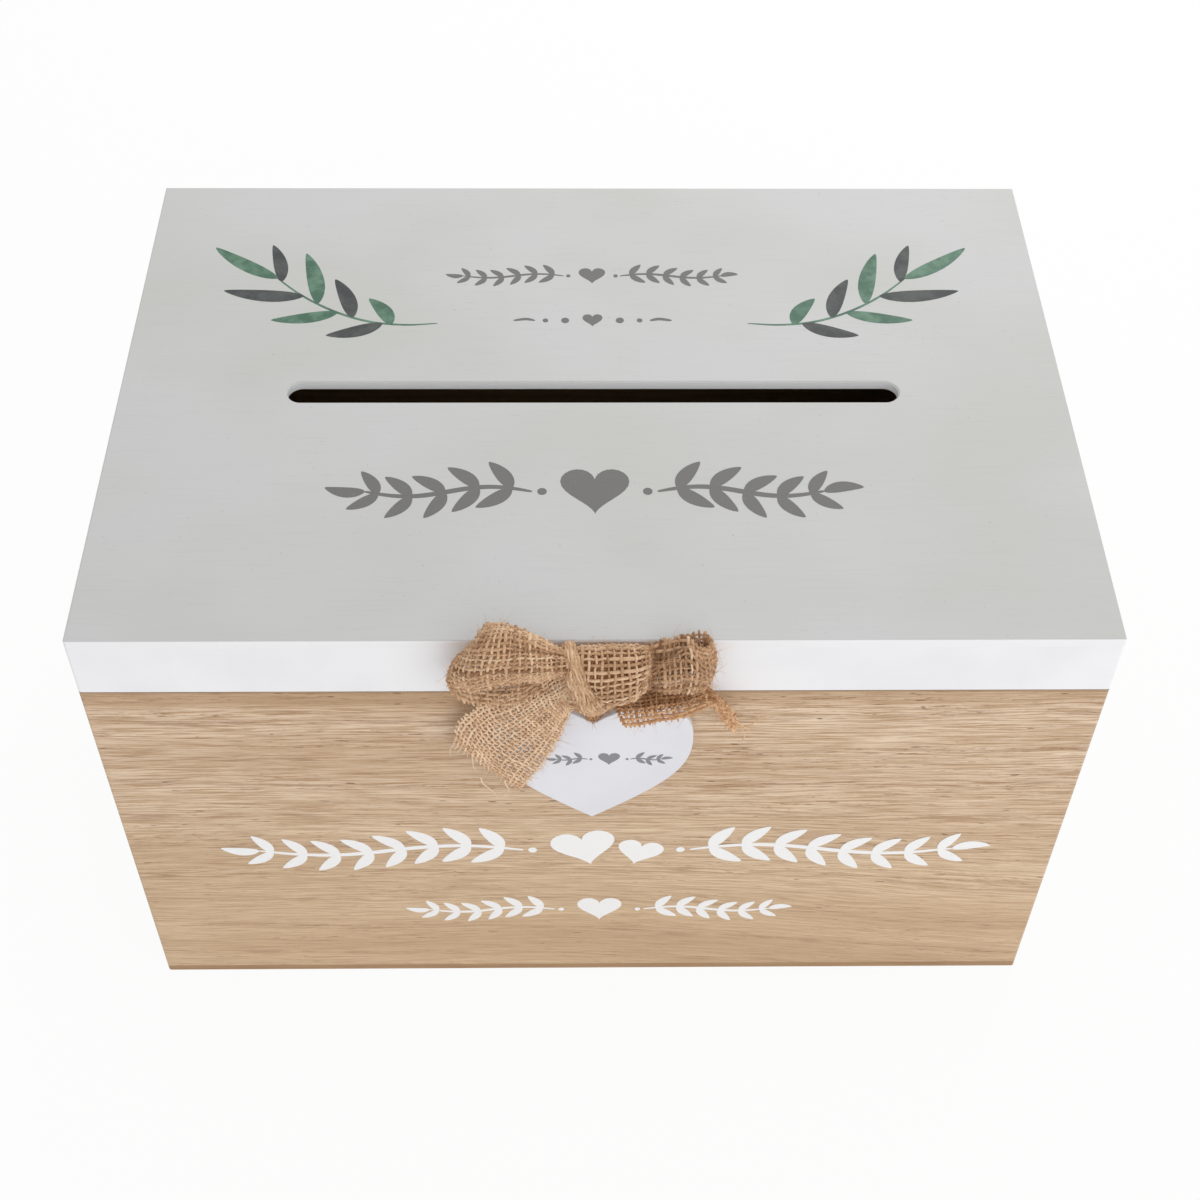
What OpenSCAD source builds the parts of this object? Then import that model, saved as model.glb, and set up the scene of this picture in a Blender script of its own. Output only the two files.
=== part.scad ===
// Wedding card box: a wooden box with a hinged lid, a slot for cards,
// a hessian ribbon bow on the lid's front rim and a heart tag that hangs from the bow.
// Millimetres. The origin is the centre of the base board's underside.
// +Z is up, and the front of the box faces -Y.

/* [Box] */
// Width of the box, left to right
box_w = 300; // [240:1:400]
// Depth of the box, front to back
box_d = 210; // [160:1:280]
// Height of the closed box, from the table to the top of the lid
box_h = 180; // [140:1:260]
// Thickness of the walls and of the lid's rim
wall_t = 8; // [8:0.5:12]
// Thickness of the base board
base_t = 3; // [2:0.5:6]
// Radius of the upright corners
corner_r = 1; // [0.5:0.1:3]

/* [Lid] */
// Height of the lid
lid_h = 22.5; // [20:0.5:40]
// Thickness of the lid's top board
lid_board_t = 3; // [2:0.5:4]
// Open seam between the lid and the box
seam_gap = 0.3; // [0.2:0.05:0.6]
// Radius of the lid's top edges
edge_r = 0.6; // [0.3:0.1:1.5]

/* [Card slot] */
// Length of the slot, end to end
slot_l = 194; // [120:1:210]
// Width of the slot
slot_w = 9.2; // [6:0.2:16]
// Distance of the slot's centre line behind the lid's centre line
slot_y = -1.6; // [-30:0.2:30]
// Width of the bevel around the slot's top edge
slot_arris = 0.5; // [0.2:0.1:1]

/* [Hinges] */
// Length of a hinge along its pin
hinge_l = 30; // [24:1:40]
// Distance from the box's end to the middle of each hinge
hinge_inset = 50; // [30:1:80]
// Height of each leaf, from the pin's axis
leaf_h = 14; // [11:0.5:16]
// Thickness of a leaf
leaf_t = 0.9; // [0.7:0.1:1.2]
// Radius of the knuckles
knuckle_r = 2; // [1.8:0.1:2.6]
// Number of knuckles in a hinge
knuckle_count = 5; // [3:2:7]
// Radius of the hinge pin
pin_r = 0.8; // [0.6:0.05:1]

/* [Screws and nails] */
// Radius of a hinge screw's shank
screw_r = 0.95; // [0.7:0.05:1.1]
// Radius of a hinge screw's countersunk head
screw_head_r = 2; // [1.6:0.1:2.4]
// Length of a hinge screw
screw_l = 6.5; // [4:0.5:7]
// Distance from a leaf's end to its nearest screw
screw_margin = 6; // [4:0.5:8]
// Radius of a nail's shank
nail_r = 0.6; // [0.5:0.05:0.9]
// Radius of a nail's head
nail_head_r = 1.2; // [1:0.1:1.8]
// Length of a nail
nail_l = 15; // [10:1:30]
// Number of nails along the front wall, and along the back wall
nails_long = 4; // [2:1:6]
// Number of nails along each side wall
nails_short = 3; // [2:1:4]

/* [Heart tag] */
// Width of the heart
heart_w = 59.6; // [40:0.2:80]
// Height of the heart, from its tip to the top of its lobes
heart_h = 55.8; // [36:0.2:74]
// Thickness of the heart
heart_t = 3; // [2:0.5:5]
// Distance of the heart's centre line to the right of the box's
heart_x = -0.9; // [-20:0.1:20]
// Width of the strip of ribbon that carries the heart
hanger_w = 9; // [6:0.5:16]
// Thickness of that strip
hanger_t = 1; // [0.6:0.1:1.6]
// Length of that strip, from its bend to its glued end
hanger_l = 22; // [16:1:30]

/* [Bow] */
// Distance of the knot's centre to the right of the box's centre line
knot_x = 3.5; // [-20:0.5:20]
// Width of the knot
knot_w = 23; // [16:1:32]
// Height of the knot
knot_h = 20; // [14:1:26]
// Distance that the knot stands out from the lid
knot_d = 17; // [12:1:24]
// Height of the knot's top above the lid's top
knot_rise = 3; // [-2:0.5:8]
// Length of the left loop, from the knot
left_loop_l = 33.5; // [24:0.5:50]
// Height of the left loop
left_loop_h = 29; // [18:0.5:36]
// Depth of the left loop, front to back
left_loop_d = 16; // [10:0.5:20]
// Height of the left loop's middle above the knot's
left_loop_lift = 9.5; // [4:0.5:14]
// Length of the right loop, from the knot
right_loop_l = 18.5; // [14:0.5:50]
// Height of the right loop
right_loop_h = 19; // [14:0.5:36]
// Depth of the right loop, front to back
right_loop_d = 14; // [10:0.5:20]
// Height of the right loop's middle above the knot's
right_loop_lift = 8.5; // [4:0.5:14]
// Width of the ribbon
ribbon_w = 38; // [28:1:50]
// Depth of a tail with its curl
tail_t = 2.4; // [1.6:0.2:3]
// Drop of the left tail's end, from its bend
left_tail_drop = 43; // [30:1:60]
// Length of the right tail, from the knot's middle
right_tail_l = 28; // [20:1:44]
// Distance that the right tail stands out from the lid
right_tail_reach = 15; // [12:0.5:20]

/* [Hidden] */

$fn = 48;
cut = 1;                    // how far a cutting shape runs past the face that it cuts
run_gap = 0.05;             // radial gap of a pin, screw or nail in its hole
soft_gap = 0.3;             // gap between a soft piece and a neighbour that moves
soft_fn = 32;               // facets around a soft rounded piece

front_y = -box_d / 2;
back_y = box_d / 2;
lid_z = box_h - lid_h;      // underside of the lid
body_z = lid_z - seam_gap;  // top edge of the walls
board_z = box_h - lid_board_t;

// Hinges
axis_y = back_y + knuckle_r + 0.15;
axis_z = lid_z - seam_gap / 2;
hinge_x = box_w / 2 - hinge_inset;
knuckle_gap = 0.15;         // gap between neighbouring knuckles
leaf_clear = 0.4;           // gap between a leaf's edge and the other leaf's knuckles
knuckle_pitch = hinge_l / knuckle_count;
pin_head_r = knuckle_r - 0.5;
pin_head_t = 0.8;
screw_z = knuckle_r + (leaf_h - knuckle_r) / 2;
screw_point = 2;            // length of a screw's point
recess_w = 0.5;             // width of the cross in a screw's head
recess_depth = 0.5;
nail_head_t = 0.5;
nail_sink = 0.2;            // depth of a nail's head below the base board's underside
nail_margin = 22;           // distance from a wall's end to its last nail

// Bow and heart tag. The heart's strip bends just under the knot's pad, at the lid's lower edge.
knot_z = box_h + knot_rise - knot_h / 2;
knot_y = front_y - knot_d / 2;
knot_left = knot_x - knot_w / 2;
knot_right = knot_x + knot_w / 2;
pad_w = 15;                 // width of the flat pad by which the knot is glued to the lid
pad_h = 14;                 // height of that pad
pad_t = 1.2;                // its depth, and that of the tongue below it
hanger_y = front_y - soft_gap - hanger_t / 2;
hanger_z = lid_z - hanger_t / 2;
tongue_z = hanger_z + hanger_t / 2 + soft_gap;
heart_drop = 1.5;           // from the strip's bend down to the top of the lobes
cleft = 0.851;              // height of the heart's cleft, as a share of the heart's
shoulder = 0.7;             // height of its widest place, as a share of the heart's
heart_top = hanger_z - heart_drop;
heart_back_y = hanger_y - hanger_t / 2;
loop_end_r = 7;             // radius of a loop where it leaves the knot
tail_gap = 1.5;             // gap between the heart and the left tail in front of it
tail_y = heart_back_y - heart_t - tail_gap - tail_t / 2;
tail_z = knot_z - knot_h / 2 - soft_gap - tail_t / 2;

// A point of a cubic curve through p[0] and p[3], at t from 0 to 1.
function curve_point(p, t) =
    pow(1 - t, 3) * p[0] + 3 * t * pow(1 - t, 2) * p[1]
    + 3 * t * t * (1 - t) * p[2] + t * t * t * p[3];

// The points of that curve, without its last.
function curve(p, steps) = [for (i = [0 : steps - 1]) curve_point(p, i / steps)];

// --- Boards -------------------------------------------------------------------

// A rectangle with round corners.
module rounded_rect(w, d, r) {
    square([w - 2 * r, d], center = true);
    square([w, d - 2 * r], center = true);
    for (x = [-1, 1], y = [-1, 1])
        translate([x * (w / 2 - r), y * (d / 2 - r)])
            circle(r);
}

// The outline of the walls, seen from above.
module wall_ring() {
    difference() {
        rounded_rect(box_w, box_d, corner_r);
        square([box_w - 2 * wall_t, box_d - 2 * wall_t], center = true);
    }
}

// The part of the plan that belongs to the wall on the far side of -Y, with mitred ends.
// w is the length of that wall, and d is the distance across to the wall that faces it.
module mitre_zone(w, d) {
    inset = wall_t + cut;
    polygon([
        [-w / 2 - cut, -d / 2 - cut], [w / 2 + cut, -d / 2 - cut],
        [w / 2 - inset, -d / 2 + inset], [-w / 2 + inset, -d / 2 + inset]
    ]);
}

// One wall from z0 to z1: side 0 is the front, 1 the right, 2 the back and 3 the left.
module wall(side, z0, z1) {
    w = side % 2 == 0 ? box_w : box_d;
    d = side % 2 == 0 ? box_d : box_w;
    translate([0, 0, z0])
        linear_extrude(z1 - z0)
            intersection() {
                wall_ring();
                rotate(90 * side)
                    mitre_zone(w, d);
            }
}

// A length of the board's cross-section, with round top edges, along X.
module eased_bar(l, w, t, r) {
    rotate([90, 0, 90])
        linear_extrude(l, center = true) {
            translate([-w / 2, 0])
                square([w, t - r]);
            translate([-w / 2 + r, 0])
                square([w - 2 * r, t]);
            for (y = [-1, 1])
                translate([y * (w / 2 - r), t - r])
                    circle(r);
        }
}

// --- Nails --------------------------------------------------------------------

// Nail places: [x, y] in the middle of the walls' thickness.
nail_x = box_w / 2 - nail_margin;
nail_y = box_d / 2 - nail_margin;
nail_row_y = box_d / 2 - wall_t / 2;
nail_row_x = box_w / 2 - wall_t / 2;
long_places = [for (i = [0 : nails_long - 1]) nail_x * (2 * i / (nails_long - 1) - 1)];
short_places = [for (i = [0 : nails_short - 1]) nail_y * (2 * i / (nails_short - 1) - 1)];
nail_places = concat(
    [for (x = long_places, y = [-nail_row_y, nail_row_y]) [x, y]],
    [for (y = short_places, x = [-nail_row_x, nail_row_x]) [x, y]]
);

// A nail, or its hole where grow is the gap around it, with its head down.
module nail(grow = 0) {
    sink = grow > 0 ? cut : 0;
    translate([0, 0, nail_sink - sink])
        cylinder(h = nail_head_t + sink, r = nail_head_r + grow);
    translate([0, 0, nail_sink])
        cylinder(h = nail_l + grow, r = nail_r + grow);
}

module nails(grow = 0) {
    for (p = nail_places)
        translate([p[0], p[1], 0])
            nail(grow);
}

module base_board() {
    color("burlywood")
        difference() {
            linear_extrude(base_t)
                rounded_rect(box_w, box_d, corner_r);
            nails(run_gap);
        }
}

module base_nails() {
    color("silver")
        nails();
}

// --- Hinges -------------------------------------------------------------------

// Places children at each screw of a leaf. side is -1 for the wall's leaf and 1 for the lid's.
// A child points its +Z out of the back face.
module at_screws(x, side) {
    for (i = [-1, 1])
        translate([x + i * (hinge_l / 2 - screw_margin), back_y, axis_z + side * screw_z])
            rotate([-90, 0, 0])
                children();
}

// The hole of a hinge screw in the wood, cut from the back face.
module pilot_hole() {
    translate([0, 0, -screw_l - run_gap])
        cylinder(h = screw_l + cut, r = screw_r + run_gap);
}

// The countersunk part of a screw through a leaf, or its hole where grow is the gap around it.
module screw_head(grow = 0) {
    cylinder(h = leaf_t, r1 = screw_r + grow, r2 = screw_head_r + grow);
    if (grow > 0)
        translate([0, 0, leaf_t])
            cylinder(h = cut, r = screw_head_r + grow);
}

// A countersunk screw with a cross recess.
module screw() {
    shank = screw_l - screw_point - leaf_t;
    difference() {
        union() {
            screw_head();
            translate([0, 0, -shank])
                cylinder(h = shank, r = screw_r);
            translate([0, 0, -shank - screw_point])
                cylinder(h = screw_point, r1 = 0.2, r2 = screw_r);
        }
        for (a = [0, 90])
            rotate(a)
                translate([-screw_head_r * 0.6, -recess_w / 2, leaf_t - recess_depth])
                    cube([screw_head_r * 1.2, recess_w, cut]);
    }
}

// The knuckles of one leaf: parity 0 takes the first, third and so on, parity 1 the others.
module knuckles(x, parity, r, gap) {
    for (i = [parity : 2 : knuckle_count - 1])
        translate([x - hinge_l / 2 + i * knuckle_pitch + gap / 2, axis_y, axis_z])
            rotate([0, 90, 0])
                cylinder(h = knuckle_pitch - gap, r = r);
}

// One leaf. side is -1 for the wall's leaf, which has the end knuckles, and 1 for the lid's.
module leaf(x, side) {
    parity = side < 0 ? 0 : 1;
    difference() {
        union() {
            translate([x - hinge_l / 2, back_y, side < 0 ? axis_z - leaf_h : axis_z])
                cube([hinge_l, leaf_t, leaf_h]);
            knuckles(x, parity, knuckle_r, knuckle_gap);
        }
        for (i = [1 - parity : 2 : knuckle_count - 1])
            translate([
                x - hinge_l / 2 + i * knuckle_pitch - knuckle_gap / 2,
                back_y - cut,
                axis_z - knuckle_r - leaf_clear
            ])
                cube([
                    knuckle_pitch + knuckle_gap,
                    leaf_t + 2 * cut,
                    2 * (knuckle_r + leaf_clear)
                ]);
        translate([x - hinge_l / 2 - cut, axis_y, axis_z])
            rotate([0, 90, 0])
                cylinder(h = hinge_l + 2 * cut, r = pin_r + run_gap);
        at_screws(x, side)
            screw_head(run_gap);
    }
}

// The hinge pin, with a round head at each end.
module pin(x) {
    translate([x, axis_y, axis_z])
        rotate([0, 90, 0]) {
            cylinder(h = hinge_l, r = pin_r, center = true);
            for (i = [0, 1])
                mirror([0, 0, i])
                    translate([0, 0, hinge_l / 2])
                        cylinder(h = pin_head_t, r = pin_head_r);
        }
}

module hinge_left_body_leaf() { color("goldenrod") leaf(-hinge_x, -1); }
module hinge_left_lid_leaf() { color("goldenrod") leaf(-hinge_x, 1); }
module hinge_left_pin() { color("darkgoldenrod") pin(-hinge_x); }
module hinge_left_body_screws() { color("peru") at_screws(-hinge_x, -1) screw(); }
module hinge_left_lid_screws() { color("peru") at_screws(-hinge_x, 1) screw(); }
module hinge_right_body_leaf() { color("goldenrod") leaf(hinge_x, -1); }
module hinge_right_lid_leaf() { color("goldenrod") leaf(hinge_x, 1); }
module hinge_right_pin() { color("darkgoldenrod") pin(hinge_x); }
module hinge_right_body_screws() { color("peru") at_screws(hinge_x, -1) screw(); }
module hinge_right_lid_screws() { color("peru") at_screws(hinge_x, 1) screw(); }

// --- Walls --------------------------------------------------------------------

// A wall of the box, standing on the base board and nailed from below.
module body_wall(side) {
    color("tan")
        difference() {
            wall(side, base_t, body_z);
            nails(run_gap);
            if (side == 2)
                for (x = [-hinge_x, hinge_x])
                    at_screws(x, -1)
                        pilot_hole();
        }
}

module front_panel() { body_wall(0); }
module right_panel() { body_wall(1); }
module back_panel() { body_wall(2); }
module left_panel() { body_wall(3); }

// --- Lid ----------------------------------------------------------------------

// A rim of the lid, under its top board.
module rim(side) {
    color("white")
        difference() {
            wall(side, lid_z, board_z);
            if (side == 2)
                for (x = [-hinge_x, hinge_x])
                    at_screws(x, 1)
                        pilot_hole();
        }
}

module lid_front_rim() { rim(0); }
module lid_right_rim() { rim(1); }
module lid_back_rim() { rim(2); }
module lid_left_rim() { rim(3); }

// The card slot with round ends, and the bevel around its top edge.
module slot_cut() {
    end_x = slot_l / 2 - slot_w / 2;
    half = slot_w / 2;
    for (x = [-end_x, end_x])
        translate([x, slot_y, 0]) {
            translate([0, 0, board_z - cut])
                cylinder(h = lid_board_t + 2 * cut, r = half);
            translate([0, 0, box_h - slot_arris])
                cylinder(h = 2 * slot_arris, r1 = half, r2 = half + 2 * slot_arris);
        }
    translate([-end_x, slot_y - half, board_z - cut])
        cube([2 * end_x, slot_w, lid_board_t + 2 * cut]);
    translate([-end_x, slot_y, box_h - slot_arris])
        rotate([90, 0, 90])
            linear_extrude(2 * end_x)
                polygon([
                    [-half, 0], [half, 0],
                    [half + 2 * slot_arris, 2 * slot_arris],
                    [-half - 2 * slot_arris, 2 * slot_arris]
                ]);
}

module lid_top_board() {
    color("gainsboro")
        difference() {
            translate([0, 0, board_z])
                intersection() {
                    linear_extrude(lid_board_t)
                        rounded_rect(box_w, box_d, corner_r);
                    eased_bar(box_w, box_d, lid_board_t, edge_r);
                    rotate(90)
                        eased_bar(box_d, box_w, lid_board_t, edge_r);
                }
            slot_cut();
        }
}

// --- Bow ----------------------------------------------------------------------

// A ball stretched to a size.
module ball(size) {
    scale(size)
        sphere(d = 1, $fn = soft_fn);
}

// The space between two upright planes, in front of the lid and clear of it by gap.
module bow_zone(x0, x1, gap) {
    reach = 2 * knot_d + 40;
    translate([x0, front_y - gap - reach, box_h - 100])
        cube([x1 - x0, reach, 200]);
}

// The knot, with the flat pad on its back that is glued to the lid, and the tongue of ribbon
// that reaches down to the bend of the heart's strip.
module bow_knot() {
    pad_top = box_h - edge_r - 1;
    color("peru")
        intersection() {
            union() {
                hull() {
                    translate([knot_x, knot_y, knot_z])
                        ball([knot_w * 1.12, knot_d, knot_h]);
                    translate([knot_x - pad_w / 2, front_y - pad_t, pad_top - pad_h])
                        cube([pad_w, pad_t, pad_h]);
                }
                translate([heart_x - hanger_w / 2, front_y - pad_t, tongue_z])
                    cube([hanger_w, pad_t, knot_z - tongue_z]);
            }
            bow_zone(knot_left, knot_right, 0);
        }
}

// A loop that leaves the knot at x0 and ends at x1.
module bow_loop(x0, x1, height, depth, lift) {
    out = x1 > x0 ? 1 : -1;
    length = abs(x1 - x0);
    belly = min(length * 0.85, height);
    intersection() {
        hull() {
            translate([x0 + out * loop_end_r * 0.3, tail_y, tail_z + tail_t / 2 + soft_gap + loop_end_r])
                sphere(r = loop_end_r, $fn = soft_fn);
            translate([x1 - out * belly / 2, front_y - 2 - depth / 2, knot_z + lift])
                ball([belly, depth, height]);
        }
        bow_zone(min(x0, x1), max(x0, x1), soft_gap);
    }
}

module bow_left_loop() {
    color("burlywood")
        bow_loop(knot_left, knot_left - left_loop_l, left_loop_h, left_loop_d, left_loop_lift);
}

module bow_right_loop() {
    color("burlywood")
        bow_loop(knot_right, knot_right + right_loop_l, right_loop_h, right_loop_d, right_loop_lift);
}

// The left tail: it bends over a rounded edge just under the loop, and hangs down and to the left.
module bow_left_tail() {
    root_right = knot_left + 3;
    root_left = knot_left - ribbon_w * 0.76;
    low = -left_tail_drop;
    color("burlywood")
        translate([0, tail_y, tail_z]) {
            translate([root_left, 0, 0])
                rotate([0, 90, 0])
                    cylinder(h = root_right - root_left, r = tail_t / 2);
            rotate([90, 0, 0])
                linear_extrude(tail_t, center = true)
                    polygon([
                        [root_right, 0], [root_left, 0],
                        [root_left - 6, low * 0.52], [root_left + 16, low],
                        [root_right - 9, low * 0.52]
                    ]);
        }
}

// The right tail: a short end of ribbon that stands out from under the knot and the right loop.
module bow_right_tail() {
    x0 = knot_x + 4;
    x1 = knot_x + right_tail_l;
    y1 = front_y - right_tail_reach;
    corners = [
        [x0, tail_y, tail_z], [x1, tail_y, tail_z],
        [x0, y1, tail_z - 3], [x1 - 6, y1 + 3, tail_z - 2.2]
    ];
    color("peru")
        hull()
            for (p = corners)
                translate(p)
                    sphere(d = tail_t, $fn = soft_fn);
}

// --- Heart tag ----------------------------------------------------------------

// The right half of the heart, from its tip at the origin to its cleft. u and v are half its
// width and its height.
function heart_side(u, v) = concat(
    curve([[0, 0], [0.69 * u, 0.281 * v], [u, 0.432 * v], [u, shoulder * v]], 12),
    curve([[u, shoulder * v], [1.02 * u, 1.037 * v], [0.487 * u, 1.096 * v], [0, cleft * v]], 14)
);

module heart_outline(w, h) {
    right = heart_side(w / 2, h);
    left = [for (i = [len(right) - 1 : -1 : 1]) [-right[i][0], right[i][1]]];
    polygon(concat(right, [[0, cleft * h]], left));
}

module heart_tag() {
    color("whitesmoke")
        translate([heart_x, heart_back_y, heart_top - heart_h])
            rotate([90, 0, 0])
                linear_extrude(heart_t)
                    heart_outline(heart_w, heart_h);
}

// The strip of ribbon that carries the heart: its round top edge is the bend, and the rest is
// glued to the heart's back.
module heart_hanger() {
    color("burlywood")
        translate([heart_x - hanger_w / 2, hanger_y, hanger_z]) {
            rotate([0, 90, 0])
                cylinder(h = hanger_w, r = hanger_t / 2);
            translate([0, -hanger_t / 2, -hanger_l])
                cube([hanger_w, hanger_t, hanger_l]);
        }
}

// --- Everything ---------------------------------------------------------------

base_board();
base_nails();
front_panel();
back_panel();
left_panel();
right_panel();
lid_top_board();
lid_front_rim();
lid_back_rim();
lid_left_rim();
lid_right_rim();
hinge_left_body_leaf();
hinge_left_lid_leaf();
hinge_left_pin();
hinge_left_body_screws();
hinge_left_lid_screws();
hinge_right_body_leaf();
hinge_right_lid_leaf();
hinge_right_pin();
hinge_right_body_screws();
hinge_right_lid_screws();
bow_knot();
bow_left_loop();
bow_right_loop();
bow_left_tail();
bow_right_tail();
heart_hanger();
heart_tag();
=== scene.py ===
"""Looks of a wedding card box: painted lid, oak-veneered sides, hessian bow and hanging heart."""

import logging
import math
from dataclasses import dataclass, field
from enum import Enum

import bmesh
import bpy
import numpy as np
from mathutils import Matrix, Vector


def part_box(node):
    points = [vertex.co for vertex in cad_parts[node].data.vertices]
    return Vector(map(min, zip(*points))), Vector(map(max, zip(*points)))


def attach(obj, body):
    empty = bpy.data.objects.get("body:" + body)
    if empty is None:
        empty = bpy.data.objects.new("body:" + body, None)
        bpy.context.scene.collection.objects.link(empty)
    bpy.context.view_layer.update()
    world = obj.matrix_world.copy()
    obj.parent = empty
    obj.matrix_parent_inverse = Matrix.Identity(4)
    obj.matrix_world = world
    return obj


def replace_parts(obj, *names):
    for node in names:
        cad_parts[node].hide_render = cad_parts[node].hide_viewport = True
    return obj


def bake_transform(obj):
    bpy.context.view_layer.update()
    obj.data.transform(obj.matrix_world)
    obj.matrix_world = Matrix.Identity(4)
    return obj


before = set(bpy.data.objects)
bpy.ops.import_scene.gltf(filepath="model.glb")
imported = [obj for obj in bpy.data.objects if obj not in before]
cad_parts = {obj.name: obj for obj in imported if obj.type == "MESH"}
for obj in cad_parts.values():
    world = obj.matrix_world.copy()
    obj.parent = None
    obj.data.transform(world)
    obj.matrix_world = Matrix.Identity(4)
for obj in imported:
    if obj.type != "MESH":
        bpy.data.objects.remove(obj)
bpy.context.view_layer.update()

logging.basicConfig(level=logging.INFO, format="%(name)s: %(message)s")
log = logging.getLogger("card box")

MM = 0.001  # metres in a millimetre; sizes below are in millimetres
Colour = tuple[float, float, float, float]
Point = tuple[float, float, float]
Flat = tuple[float, float]
Series = tuple[float, ...]
Rows = tuple[tuple[Point, ...], ...]
Box = tuple[Point, Point]


def corners(node: str) -> Box:
    """Gives a frame node's lowest and highest corners, in millimetres."""
    low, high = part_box(node)
    return tuple(round(v / MM, 2) for v in low), tuple(round(v / MM, 2) for v in high)


def paint(red: int, green: int, blue: int) -> Colour:
    """Turns a screen colour, 0 to 255, into the linear colour a shader takes.

    Args:
        red: Red level.
        green: Green level.
        blue: Blue level.

    Returns:
        The linear colour with full alpha.
    """
    levels = [level / 255 for level in (red, green, blue)]
    linear = [v / 12.92 if v <= 0.04045 else ((v + 0.055) / 1.055) ** 2.4 for v in levels]
    return (linear[0], linear[1], linear[2], 1.0)


BOARD = paint(196, 172, 138)
BOARD_DARK = paint(170, 142, 106)


class Value:
    """A number that varies over a surface: one output socket of a material."""

    def __init__(self, shader: "Shader", socket: bpy.types.NodeSocket) -> None:
        """Wraps a socket of a shader's tree."""
        self.shader = shader
        self.socket = socket

    def math(self, operation: str, *operands: "Value | float") -> "Value":
        """Adds a Math node.

        Args:
            operation: The Math node's operation.
            *operands: Its inputs in order.

        Returns:
            The node's result.
        """
        inputs = dict(enumerate(operands))
        node = self.shader.node("ShaderNodeMath", {"operation": operation}, inputs)
        return Value(self.shader, node.outputs[0])

    def __add__(self, other: "Value | float") -> "Value":
        """Adds."""
        return self.math("ADD", self, other)

    __radd__ = __add__

    def __sub__(self, other: "Value | float") -> "Value":
        """Subtracts."""
        return self.math("SUBTRACT", self, other)

    def __rsub__(self, other: float) -> "Value":
        """Subtracts from a plain number."""
        return self.math("SUBTRACT", other, self)

    def __mul__(self, other: "Value | float") -> "Value":
        """Multiplies."""
        return self.math("MULTIPLY", self, other)

    def __truediv__(self, other: "Value | float") -> "Value":
        """Divides."""
        return self.math("DIVIDE", self, other)

    def absolute(self) -> "Value":
        """Gives the size without the sign."""
        return self.math("ABSOLUTE", self)

    def larger(self, other: "Value | float") -> "Value":
        """Gives the larger of two."""
        return self.math("MAXIMUM", self, other)

    def sine(self) -> "Value":
        """Gives the sine."""
        return self.math("SINE", self)

    def cosine(self) -> "Value":
        """Gives the cosine."""
        return self.math("COSINE", self)

    def between(self, low: float, high: float) -> "Value":
        """Rises smoothly from 0 at low to 1 at high.

        Args:
            low: Where it leaves 0.
            high: Where it reaches 1.

        Returns:
            The smooth step.
        """
        node = self.shader.node(
            "ShaderNodeMapRange",
            {"interpolation_type": "SMOOTHSTEP"},
            {"Value": self, "From Min": low, "From Max": high},
        )
        return Value(self.shader, node.outputs[0])


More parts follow.
